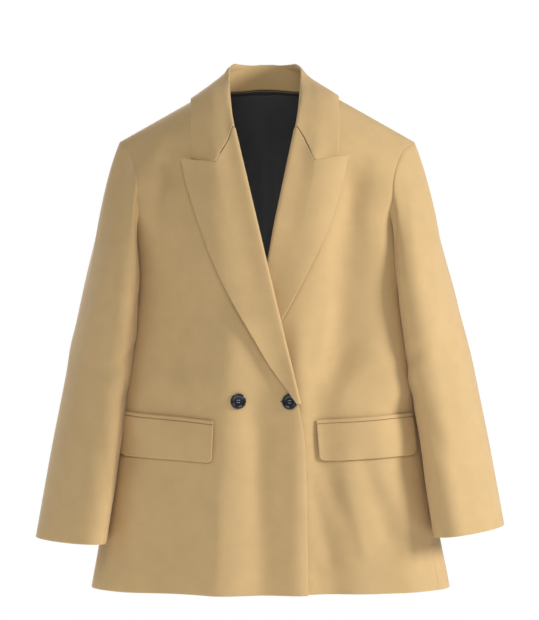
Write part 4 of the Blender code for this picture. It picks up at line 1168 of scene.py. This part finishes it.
def make_lining():
    times = cloth().fineness
    heights = finer(LINING_LEVELS, times)
    columns = np.linspace(-1.0, 1.0, LINING_COLUMNS * times + 1)
    seam = seam_turn(1) + LINING_SIDE_GAP
    arm = np.interp(heights[::-1], ARM_LEVELS[::-1], armhole_turns(1, ARM_LEVELS)[::-1])[::-1] + LINING_SIDE_GAP
    edge = np.where(heights > CORNER_LEVEL, arm, seam)
    grid_turns = HALF_TURN + columns[None, :] * (HALF_TURN - edge)[:, None]
    across = np.abs(bare(grid_turns[0], np.full(len(columns), LINING_TOP_AT))[:, 0])
    top = np.interp(across, BACK_NECK[::-1, 0], BACK_NECK[::-1, 1]) - LINING_TOP_GAP
    share = (heights - heights[-1]) / (heights[0] - heights[-1])
    grid_levels = heights[-1] + (top[None, :] - heights[-1]) * share[:, None]
    away = bare(grid_turns, grid_levels)[..., 0] - NECK_SHIFT
    lift = LINING_LIFT - PLEAT_DEPTH * np.exp(-(away / PLEAT_REACH) ** 2)
    for place, z, slant, reach, length, depth in LINING_WRINKLES:
        lift = lift - slanted(away - place, grid_levels - z, slant, reach, length, depth)
    outer = surface(grid_turns, grid_levels, lift + LINING_WALL / 2)
    inner = surface(grid_turns, grid_levels, lift - LINING_WALL / 2)
    piece = add_wall("back_lining", outer, inner, body_uv(grid_turns, grid_levels), (satin(),))
    declare(piece, "back_lining")


class Maths:
    """A shader socket whose expressions add nodes."""

    def __init__(self, tree, socket):
        self.tree = tree
        self.socket = socket

    def _math(self, operation, *values):
        made = self.tree.nodes.new("ShaderNodeMath")
        made.operation = operation
        for socket, value in zip(made.inputs, values):
            plug(self.tree, socket, value)
        return Maths(self.tree, made.outputs[0])

    def __add__(self, other):
        return self._math("ADD", self, other)

    __radd__ = __add__

    def __sub__(self, other):
        return self._math("SUBTRACT", self, other)

    def __rsub__(self, other):
        return self._math("SUBTRACT", other, self)

    def __mul__(self, other):
        return self._math("MULTIPLY", self, other)

    __rmul__ = __mul__

    def wave(self):
        """0 to 1 along a sine of the angle in radians."""
        return self._math("SINE", self) * 0.5 + 0.5

    def power(self, amount):
        return self._math("POWER", self, amount)


def plug(tree, socket, value):
    """Sets a socket to a number or colour, or links it."""
    if isinstance(value, Maths):
        tree.links.new(value.socket, socket)
    else:
        socket.default_value = value


def add_node(tree, kind, settings=None, sockets=None, output=0):
    """Any node: its settings or a ramp's stops first, then its sockets; returns the wrapped output."""
    made = tree.nodes.new(kind)
    for key, value in (settings or {}).items():
        if key == "stops":
            for element, (place, colour) in zip(made.color_ramp.elements, value):
                element.position = place
                element.color = colour
        else:
            setattr(made, key, value)
    for key, value in (sockets or {}).items():
        plug(tree, made.inputs[key], value)
    return Maths(tree, made.outputs[output])


def noise(tree, vector, scale, detail, roughness):
    return add_node(tree, "ShaderNodeTexNoise", None,
                    {"Vector": vector, "Scale": scale, "Detail": detail, "Roughness": roughness})


def weighed(shares, *parts):
    """Sum of sockets, each times its share."""
    total = parts[0] * shares[0]
    for share, part in zip(shares[1:], parts[1:]):
        total = total + part * share
    return total


def object_place(tree):
    return add_node(tree, "ShaderNodeTexCoord", output=3)


def flat_place(tree):
    """Place on the cloth's flat pattern in metres: as a vector, across and along."""
    flat = add_node(tree, "ShaderNodeUVMap", {"uv_map": "cloth"})
    across, along = (add_node(tree, "ShaderNodeSeparateXYZ", None, {0: flat}, output=i) for i in range(2))
    return flat, across, along


def shaded(colour, factor):
    """A colour made lighter or darker by a factor."""
    return (colour[0] * factor, colour[1] * factor, colour[2] * factor, 1.0)


def two_tone(tree, share, colour, shades):
    """A colour between its darker and its lighter shade."""
    dark, light = (shaded(colour, factor) for factor in shades)
    return add_node(tree, "ShaderNodeMix", {"data_type": "RGBA"}, {0: share, 6: dark, 7: light}, output=2)


def ranged(part, least, more):
    """From the least value up, as the pattern goes from 0 to 1."""
    return least + part * more


def finish(name, paint, *looks):
    """The material of this name, painted the first time that it is asked for."""
    made = bpy.data.materials.get(name)
    if made is None:
        made = bpy.data.materials.new(name)
        made.use_nodes = True
        paint(made.node_tree, made.node_tree.nodes["Principled BSDF"], *looks)
    return made


def dress(tree, shader, colour, roughness, relief=None, fixed=None):
    """Feeds the shader: colour, roughness, relief (height, strength, distance) and fixed values by socket."""
    plug(tree, shader.inputs["Base Color"], colour)
    plug(tree, shader.inputs["Roughness"], roughness)
    if relief is not None:
        sockets = dict(zip(("Height", "Strength", "Distance"), relief))
        plug(tree, shader.inputs["Normal"], add_node(tree, "ShaderNodeBump", None, sockets))
    for label, value in (fixed or {}).items():
        shader.inputs[label].default_value = value


def paint_suiting(tree, shader):
    sizes = cloth()
    flat, u, v = flat_place(tree)
    wobble = noise(tree, flat, *TWILL_WOBBLE) * WOBBLE
    turn = FULL_TURN / sizes.twill_pitch
    twill = (u * (turn * TWILL_WAY[0]) + v * (turn * TWILL_WAY[1]) + wobble).wave()
    warp = (v * (turn * WARP_PACE)).wave()
    ridge = twill * RIDGE_SHARES[0] + warp * (1.0 - twill) * RIDGE_SHARES[1]
    mottle = noise(tree, object_place(tree), *WOOL_MOTTLE)
    cloud = noise(tree, object_place(tree), *WOOL_CLOUD)
    fibre = noise(tree, flat, *WOOL_FIBRE)
    tone = weighed(TONE_SHARES, ridge, mottle, fibre, cloud)
    stops = [(place, shaded(sizes.wool_colour, factor)) for place, factor in zip(WOOL_STOPS, WOOL_SHADES)]
    colour = add_node(tree, "ShaderNodeValToRGB", {"stops": stops}, {"Fac": tone})
    relief = weighed(RELIEF_SHARES, ridge, fibre, mottle)
    dress(tree, shader, colour, ranged(mottle, *WOOL_ROUGH), (relief, WOOL_RELIEF, sizes.twill_height),
          {"Sheen Weight": 0.30, "Sheen Roughness": 0.5, "Sheen Tint": sizes.nap_colour,
           "Specular IOR Level": 0.22})


def suiting():
    """Fine camel twill with a soft nap."""
    return finish("camel_twill", paint_suiting)


def paint_satin(tree, shader):
    _, u, v = flat_place(tree)
    threads = (u * (FULL_TURN / SATIN_THREAD)).wave()
    floats = (v * (FULL_TURN / SATIN_FLOAT) + u * SATIN_SLANT).wave()
    cloud = noise(tree, object_place(tree), *SATIN_CLOUD)
    tone = weighed(SATIN_SHARES, threads, floats, cloud)
    colour = two_tone(tree, tone, cloth().lining_colour, SATIN_SHADES)
    dress(tree, shader, colour, ranged(cloud, *SATIN_ROUGH), (threads * 0.5 + floats * 0.5, *SATIN_RELIEF),
          {"Specular IOR Level": 0.5, "Sheen Weight": 0.12})


def satin():
    """Black satin lining with fine lengthwise threads."""
    return finish("lining_satin", paint_satin)


def paint_horn(tree, shader):
    """Polished near black with a faint cloudy figure."""
    figure = noise(tree, object_place(tree), *HORN_FIGURE)
    fleck = noise(tree, object_place(tree), *HORN_FLECK)
    share = (figure * HORN_STRETCH - (HORN_STRETCH - 1.0)).power(HORN_SHARPNESS)
    dress(tree, shader, two_tone(tree, share, cloth().button_colour, HORN_SHADES), ranged(fleck, *HORN_ROUGH),
          (fleck, *HORN_RELIEF), {"Coat Weight": 0.35, "Coat Roughness": 0.12})


def paint_thread(tree, shader, colour):
    """Twisted sewing thread."""
    twist = add_node(tree, "ShaderNodeTexWave", {"bands_direction": "DIAGONAL"},
                     {"Vector": object_place(tree), **THREAD_TWIST}, output=1)
    dress(tree, shader, two_tone(tree, twist, colour, THREAD_SHADES), ranged(twist, *THREAD_ROUGH),
          (twist, *THREAD_RELIEF), {"Sheen Weight": 0.2})


def paint_floor(tree, shader):
    tone = noise(tree, object_place(tree), *FLOOR_TONE)
    dress(tree, shader, two_tone(tree, tone, WHITE, FLOOR_SHADES), FLOOR_ROUGH, None,
          {"Emission Color": WHITE, "Emission Strength": FLOOR_GLOW})


def front_frame(x, z, lift):
    """A point on the over front with its outward, sideways and upward directions."""
    step = FRAME_STEP * np.array([0.0, 1.0, -1.0, 0.0, 0.0])
    base, right, left, above, below = front_point(x + step, z + np.roll(step, 2), lift, -1)
    normal = unit(np.cross(right - left, above - below))
    across = unit(np.cross(np.array([0.0, 0.0, 1.0]), normal))
    return base, normal, across, np.cross(normal, across)


def button_height(radius):
    """Height of the button's face at a distance from its middle."""
    return np.interp(radius, BUTTON_FACE[:, 0], BUTTON_FACE[:, 1])


def button_points():
    """Places across, up and out of the button's points: its middle, its rings from face to back, its back."""
    spin = np.linspace(0.0, FULL_TURN, BUTTON_AROUND, endpoint=False)
    fine = HOLE_OUT + HOLE_RADIUS + HOLE_RIM
    face = np.concatenate([np.linspace(0.0, fine, BUTTON_RINGS)[1:], BUTTON_FACE[BUTTON_FACE[:, 0] > fine, 0]])
    reach = np.concatenate([face, BUTTON_BACK[:, 0]])[:, None]
    a = reach * np.cos(spin)
    b = reach * np.sin(spin)
    height = np.concatenate([button_height(face), BUTTON_BACK[:, 1]])[:, None] + np.zeros(a.shape)
    for i in range(HOLES):
        angle = FULL_TURN * (i + 0.5) / HOLES
        away = np.hypot(a - HOLE_OUT * math.cos(angle), b - HOLE_OUT * math.sin(angle))
        height = height - HOLE_DEPTH * (1.0 - smooth(away, HOLE_RADIUS - HOLE_WALL[0], HOLE_RADIUS + HOLE_WALL[1]))
    rings = np.stack([a, b, height], axis=-1).reshape(-1, 3)
    return np.concatenate([[[0.0, 0.0, button_height(0.0)]], rings, [[0.0, 0.0, 0.0]]])


def make_buttons():
    flat = button_points()
    last = len(flat) - 1
    faces = []
    for i in range(BUTTON_AROUND):
        j = (i + 1) % BUTTON_AROUND
        faces.append((0, 1 + i, 1 + j))
        for low in range(1, last - BUTTON_AROUND, BUTTON_AROUND):
            high = low + BUTTON_AROUND
            faces.append((low + i, high + i, high + j, low + j))
        low = last - BUTTON_AROUND
        faces.append((low + i, last, low + j))
    for name, (x, z) in (("button_outer", BUTTON_OUTER), ("button_closing", BUTTON_CLOSING)):
        base, normal, across, up = front_frame(x, z, CLOTH_WALL / 2 + BUTTON_FLOAT)
        points = base + flat @ np.stack([across, up, normal])
        made = add_mesh(name, "_turned", points, faces, (finish("button_horn", paint_horn),))
        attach(made, "root")
        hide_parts(name)
        make_button_thread(name + "_thread", base, normal, up)


def stitch_tree():
    """Nodes that lay short thread loops across a path."""
    tree = bpy.data.node_groups.new("thread_stitches", "GeometryNodeTree")
    face = tree.interface
    for label, kind in (("Geometry", "Geometry"), ("Spacing", "Float"), ("Stitch Length", "Float"),
                        ("Thread Radius", "Float"), ("Facing", "Vector"), ("Thread", "Material")):
        face.new_socket(label, in_out="INPUT", socket_type="NodeSocket" + kind)
    face.new_socket("Geometry", in_out="OUTPUT", socket_type="NodeSocketGeometry")
    given = tree.nodes.new("NodeGroupInput").outputs

    def node(kind, settings, sockets):
        """Any node: its settings, then its sockets by name or number; returns it."""
        made = tree.nodes.new(kind)
        for key, value in settings.items():
            setattr(made, key, value)
        for key, value in sockets.items():
            if isinstance(value, bpy.types.Node):
                value = value.outputs[0]
            if isinstance(value, bpy.types.NodeSocket):
                tree.links.new(value, made.inputs[key])
            else:
                made.inputs[key].default_value = value
        return made

    def times(value, factor):
        return node("ShaderNodeMath", {"operation": "MULTIPLY"}, {0: value, 1: factor})

    path = node("GeometryNodeMeshToCurve", {}, {"Mesh": given["Geometry"]})
    spaced = node("GeometryNodeResampleCurve", {"mode": "LENGTH"}, {"Curve": path, "Length": given["Spacing"]})
    across = node("ShaderNodeVectorMath", {"operation": "CROSS_PRODUCT"},
                  {0: node("GeometryNodeInputTangent", {}, {}), 1: given["Facing"]})
    held = node("GeometryNodeCaptureAttribute", {"domain": "POINT"}, {"Geometry": spaced})
    held.capture_items.new("VECTOR", "Across")
    tree.links.new(across.outputs[0], held.inputs[1])
    turned = node("FunctionNodeAlignRotationToVector", {"axis": "X"}, {"Vector": held.outputs[1]})
    faced = node("FunctionNodeAlignRotationToVector", {"axis": "Z", "pivot_axis": "X"},
                 {"Rotation": turned, "Vector": given["Facing"]})
    half = times(given["Stitch Length"], 0.5)
    start = node("ShaderNodeCombineXYZ", {}, {"X": times(half, -1.0)})
    middle = node("ShaderNodeCombineXYZ", {}, {"Z": times(given["Thread Radius"], STITCH_ARCH)})
    end = node("ShaderNodeCombineXYZ", {}, {"X": half})
    arc = node("GeometryNodeCurveQuadraticBezier", {},
               {"Resolution": STITCH_STEPS, "Start": start, "Middle": middle, "End": end})
    ring = node("GeometryNodeCurvePrimitiveCircle", {},
                {"Resolution": STITCH_SIDES, "Radius": given["Thread Radius"]})
    loop = node("GeometryNodeCurveToMesh", {}, {"Curve": arc, "Profile Curve": ring, "Fill Caps": True})
    placed = node("GeometryNodeInstanceOnPoints", {}, {"Points": held, "Instance": loop, "Rotation": faced})
    real = node("GeometryNodeRealizeInstances", {}, {"Geometry": placed})
    dressed = node("GeometryNodeSetMaterial", {}, {"Geometry": real, "Material": given["Thread"]})
    node("NodeGroupOutput", {}, {0: dressed})
    return tree


def sew(name, path, closed, spacing, length, radius, facing, thread):
    """Thread stitches laid across a path, as one plain mesh."""
    tree = bpy.data.node_groups.get("thread_stitches") or stitch_tree()
    mesh = bpy.data.meshes.new(name + "_path")
    edges = [(i, i + 1) for i in range(len(path) - 1)]
    if closed:
        edges.append((len(path) - 1, 0))
    mesh.from_pydata((path * MM).tolist(), edges, [])
    source = bpy.data.objects.new(name + "_path", mesh)
    bpy.context.scene.collection.objects.link(source)
    work = source.modifiers.new("stitches", "NODES")
    work.node_group = tree
    names = {item.name: item.identifier for item in tree.interface.items_tree if item.in_out == "INPUT"}
    work[names["Spacing"]] = spacing * MM
    work[names["Stitch Length"]] = length * MM
    work[names["Thread Radius"]] = radius * MM
    work[names["Facing"]] = tuple(float(v) for v in facing)
    work[names["Thread"]] = thread
    bpy.context.view_layer.update()
    result = source.evaluated_get(bpy.context.evaluated_depsgraph_get())
    plain = bpy.data.meshes.new_from_object(result)
    source.modifiers.remove(work)
    bpy.data.objects.remove(source, do_unlink=True)
    if len(plain.polygons) == 0:
        raise RuntimeError(name + " has no stitches")
    plain.name = name
    plain.polygons.foreach_set("use_smooth", np.ones(len(plain.polygons), bool))
    made = bpy.data.objects.new(name, plain)
    bpy.context.scene.collection.objects.link(made)
    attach(made, "root")


def make_button_thread(name, base, normal, up):
    """Strands that join the button's holes in pairs, coloured lighter than the real dark thread to paint the glints
    on the button's middle.
    """
    gap = HOLE_OUT * math.sin(QUARTER_TURN / 2)
    lift = button_height(HOLE_OUT) + cloth().thread_radius / MM * THREAD_RISE
    path = base + normal * lift + up * gap * np.array([[-1.0], [1.0]])
    sew(name, path, False, 2.0 * gap, 2.0 * gap + THREAD_OVER, THREAD_BUNDLE, normal,
        finish("button_thread_and_glint", paint_thread, THREAD_AND_GLINT_COLOUR))


def make_buttonhole():
    """Buttonhole under the closing button: worked stitches round a slit, its inner end showing, the stitches darkened
    to paint the slit's shade.
    """
    x, z = BUTTONHOLE
    lift = CLOTH_WALL / 2 + BUTTONHOLE_FLOAT
    spin = np.linspace(0.0, FULL_TURN, BUTTONHOLE_POINTS, endpoint=False)
    run = np.sign(np.cos(spin)) * np.abs(np.cos(spin)) ** BUTTONHOLE_BLUNT * BUTTONHOLE_HALF
    path = front_point(x + run, z + np.sin(spin) * BUTTONHOLE_WIDTH, lift, -1)
    # the stitches' dark colour is painted shade of the buttonhole's opening, which is not cut into the front
    sew("buttonhole_stitches", path, True, *BUTTONHOLE_STITCH, front_frame(x, z, lift)[1],
        finish("buttonhole_thread_painted_shade", paint_thread, shaded(cloth().wool_colour, BUTTONHOLE_PAINTED_SHADE)))


def add_light(name, place, size, colour, power):
    lamp = bpy.data.lights.new(name, "AREA")
    lamp.shape = "DISK"
    lamp.size = size
    lamp.energy = power
    lamp.color = colour
    made = bpy.data.objects.new(name, lamp)
    made.location = place
    made.rotation_euler = (Vector(LIGHT_TARGET) - made.location).to_track_quat("-Z", "Y").to_euler()
    bpy.context.scene.collection.objects.link(made)


def make_stage():
    scene = bpy.context.scene
    sizes = scene.blazer_stage
    lens = bpy.data.cameras.new("front_camera")
    lens.sensor_width = SENSOR_WIDTH
    lens.lens = sizes.lens
    lens.clip_end = CLIP_END
    camera = bpy.data.objects.new("front_camera", lens)
    camera.location = (sizes.aim_x, -sizes.camera_away, sizes.aim_z)
    camera.rotation_euler = (QUARTER_TURN, 0.0, 0.0)
    scene.collection.objects.link(camera)
    scene.camera = camera
    rim = np.linspace(0.0, FULL_TURN, FLOOR_SIDES, endpoint=False)
    disc = [(FLOOR_RADIUS * math.cos(t), FLOOR_RADIUS * math.sin(t), sizes.floor_z) for t in rim]
    mesh = bpy.data.meshes.new("floor")
    mesh.from_pydata(disc, [], [tuple(range(FLOOR_SIDES))])
    mesh.materials.append(finish("pale_floor", paint_floor))
    floor = bpy.data.objects.new("floor", mesh)
    scene.collection.objects.link(floor)
    for light, power in zip(LIGHTS, (sizes.key_power, sizes.fill_power, sizes.top_power, sizes.back_power)):
        add_light(*light, power)
    scene.world = bpy.data.worlds.new("studio")
    scene.world.use_nodes = True
    tree = scene.world.node_tree
    ground = tree.nodes["Background"]
    seen = add_node(tree, "ShaderNodeLightPath")
    plug(tree, ground.inputs["Strength"], seen * (1.0 - sizes.ambient) + sizes.ambient)
    ground.inputs["Color"].default_value = WHITE
    scene.view_settings.view_transform = "Standard"
    scene.view_settings.look = "None"


class BlazerCloth(bpy.types.PropertyGroup):
    fineness: IntProperty(name="Fineness", description="Even steps of mesh between two seam points", default=6,
                          min=1, max=10)
    wool_colour: FloatVectorProperty(name="Suiting", description="Colour of the outer cloth", subtype="COLOR",
                                     size=4, min=0.0, max=1.0, default=(0.60, 0.412, 0.195, 1.0))
    nap_colour: FloatVectorProperty(name="Nap", description="Colour of the raised fibres at grazing angles",
                                    subtype="COLOR", size=4, min=0.0, max=1.0, default=(0.98, 0.93, 0.84, 1.0))
    lining_colour: FloatVectorProperty(name="Lining", description="Colour of the lining", subtype="COLOR", size=4,
                                       min=0.0, max=1.0, default=(0.05, 0.05, 0.054, 1.0))
    button_colour: FloatVectorProperty(name="Buttons", description="Colour of the buttons", subtype="COLOR",
                                       size=4, min=0.0, max=1.0, default=(0.009, 0.010, 0.016, 1.0))
    twill_pitch: FloatProperty(name="Twill pitch", description="Distance between twill ribs", default=0.0013,
                               min=0.0005, max=0.01, unit="LENGTH", precision=5)
    twill_height: FloatProperty(name="Twill height", description="Height of the twill ribs", default=0.00018,
                                min=0.0, max=0.002, unit="LENGTH", precision=5)
    thread_radius: FloatProperty(name="Thread", description="Radius of the sewing thread", default=0.00025,
                                 min=0.0001, max=0.001, unit="LENGTH", precision=5)


class BlazerStage(bpy.types.PropertyGroup):
    camera_away: FloatProperty(name="Camera distance", description="Distance of the camera in front of the origin",
                               default=3.0, min=0.5, unit="LENGTH")
    aim_x: FloatProperty(name="Camera across", description="Camera's place across", default=0.0036, unit="LENGTH")
    aim_z: FloatProperty(name="Camera height", description="Camera's height", default=-0.3248, unit="LENGTH")
    lens: FloatProperty(name="Lens", description="Focal length in millimetres", default=120.13, min=10.0)
    floor_z: FloatProperty(name="Floor", description="Height of the floor", default=-1.42, unit="LENGTH")
    ambient: FloatProperty(name="Ambient", description="Strength of the even surrounding light", default=0.19,
                           min=0.0, max=1.0)
    key_power: FloatProperty(name="Key light", description="Power of the main light at the right", default=84.0,
                             min=0.0, unit="POWER")
    fill_power: FloatProperty(name="Fill light", description="Power of the soft light at the left", default=14.0,
                              min=0.0, unit="POWER")
    back_power: FloatProperty(name="Back light", description="Power of the light behind", default=95.0, min=0.0,
                              unit="POWER")
    top_power: FloatProperty(name="Top light", description="Power of the light above", default=24.0, min=0.0,
                             unit="POWER")


class BlazerOperator:
    """Runs one maker's function as an operator."""

    bl_options = {"REGISTER", "UNDO"}

    def execute(self, context):
        type(self).build()
        return {"FINISHED"}


class BLAZER_OT_fronts(BlazerOperator, bpy.types.Operator):
    """Make the two crossed fronts"""

    bl_idname = "blazer.fronts"
    bl_label = "Fronts"
    build = staticmethod(make_fronts)


class BLAZER_OT_sides(BlazerOperator, bpy.types.Operator):
    """Make the two side panels"""

    bl_idname = "blazer.sides"
    bl_label = "Side panels"
    build = staticmethod(make_sides)


class BLAZER_OT_backs(BlazerOperator, bpy.types.Operator):
    """Make the two backs, seamed down the centre"""

    bl_idname = "blazer.backs"
    bl_label = "Backs"
    build = staticmethod(make_backs)


class BLAZER_OT_sleeves(BlazerOperator, bpy.types.Operator):
    """Make the top and under sleeves"""

    bl_idname = "blazer.sleeves"
    bl_label = "Sleeves"
    build = staticmethod(make_sleeves)


class BLAZER_OT_lapels(BlazerOperator, bpy.types.Operator):
    """Make the two peaked lapels, turned over at the roll line"""

    bl_idname = "blazer.lapels"
    bl_label = "Lapels"
    build = staticmethod(make_lapels)


class BLAZER_OT_collar(BlazerOperator, bpy.types.Operator):
    """Make the collar, its stand and its leaf"""

    bl_idname = "blazer.collar"
    bl_label = "Collar"
    build = staticmethod(make_collar)


class BLAZER_OT_pockets(BlazerOperator, bpy.types.Operator):
    """Make the pocket flaps and the jets above them"""

    bl_idname = "blazer.pockets"
    bl_label = "Pocket flaps"
    build = staticmethod(make_pockets)


class BLAZER_OT_lining(BlazerOperator, bpy.types.Operator):
    """Make the back lining with its centre pleat"""

    bl_idname = "blazer.lining"
    bl_label = "Back lining"
    build = staticmethod(make_lining)


class BLAZER_OT_buttons(BlazerOperator, bpy.types.Operator):
    """Make the two buttons and their thread"""

    bl_idname = "blazer.buttons"
    bl_label = "Buttons"
    build = staticmethod(make_buttons)


class BLAZER_OT_buttonhole(BlazerOperator, bpy.types.Operator):
    """Sew the buttonhole under the closing button"""

    bl_idname = "blazer.buttonhole"
    bl_label = "Buttonhole"
    build = staticmethod(make_buttonhole)


class BLAZER_OT_stage(BlazerOperator, bpy.types.Operator):
    """Set the camera, the floor and the studio light"""

    bl_idname = "blazer.stage"
    bl_label = "Stage"
    build = staticmethod(make_stage)


OPERATORS = (BLAZER_OT_stage, BLAZER_OT_fronts, BLAZER_OT_sides, BLAZER_OT_backs, BLAZER_OT_sleeves,
             BLAZER_OT_lapels, BLAZER_OT_collar, BLAZER_OT_pockets, BLAZER_OT_lining, BLAZER_OT_buttons,
             BLAZER_OT_buttonhole)


class BLAZER_PT_sidebar(bpy.types.Panel):
    """Lists the blazer's pieces"""

    bl_idname = "BLAZER_PT_sidebar"
    bl_label = "Blazer"
    bl_space_type = "VIEW_3D"
    bl_region_type = "UI"
    bl_category = "Blazer"

    def draw(self, context):
        for group in (context.scene.blazer_cloth, context.scene.blazer_stage):
            for name in type(group).__annotations__:
                self.layout.prop(group, name)
        for operator in OPERATORS:
            self.layout.operator(operator.bl_idname)


CLASSES = (BlazerCloth, BlazerStage) + OPERATORS + (BLAZER_PT_sidebar,)


def register():
    for made in CLASSES:
        bpy.utils.register_class(made)
    bpy.types.Scene.blazer_cloth = PointerProperty(type=BlazerCloth)
    bpy.types.Scene.blazer_stage = PointerProperty(type=BlazerStage)


def unregister():
    del bpy.types.Scene.blazer_stage
    del bpy.types.Scene.blazer_cloth
    for made in reversed(CLASSES):
        bpy.utils.unregister_class(made)


def main():
    register()
    bpy.ops.blazer.stage()
    bpy.ops.blazer.fronts()
    bpy.ops.blazer.sides()
    bpy.ops.blazer.backs()
    bpy.ops.blazer.sleeves()
    bpy.ops.blazer.lapels()
    bpy.ops.blazer.collar()
    bpy.ops.blazer.pockets()
    bpy.ops.blazer.lining()
    bpy.ops.blazer.buttons()
    bpy.ops.blazer.buttonhole()


if __name__ == "__main__":
    main()
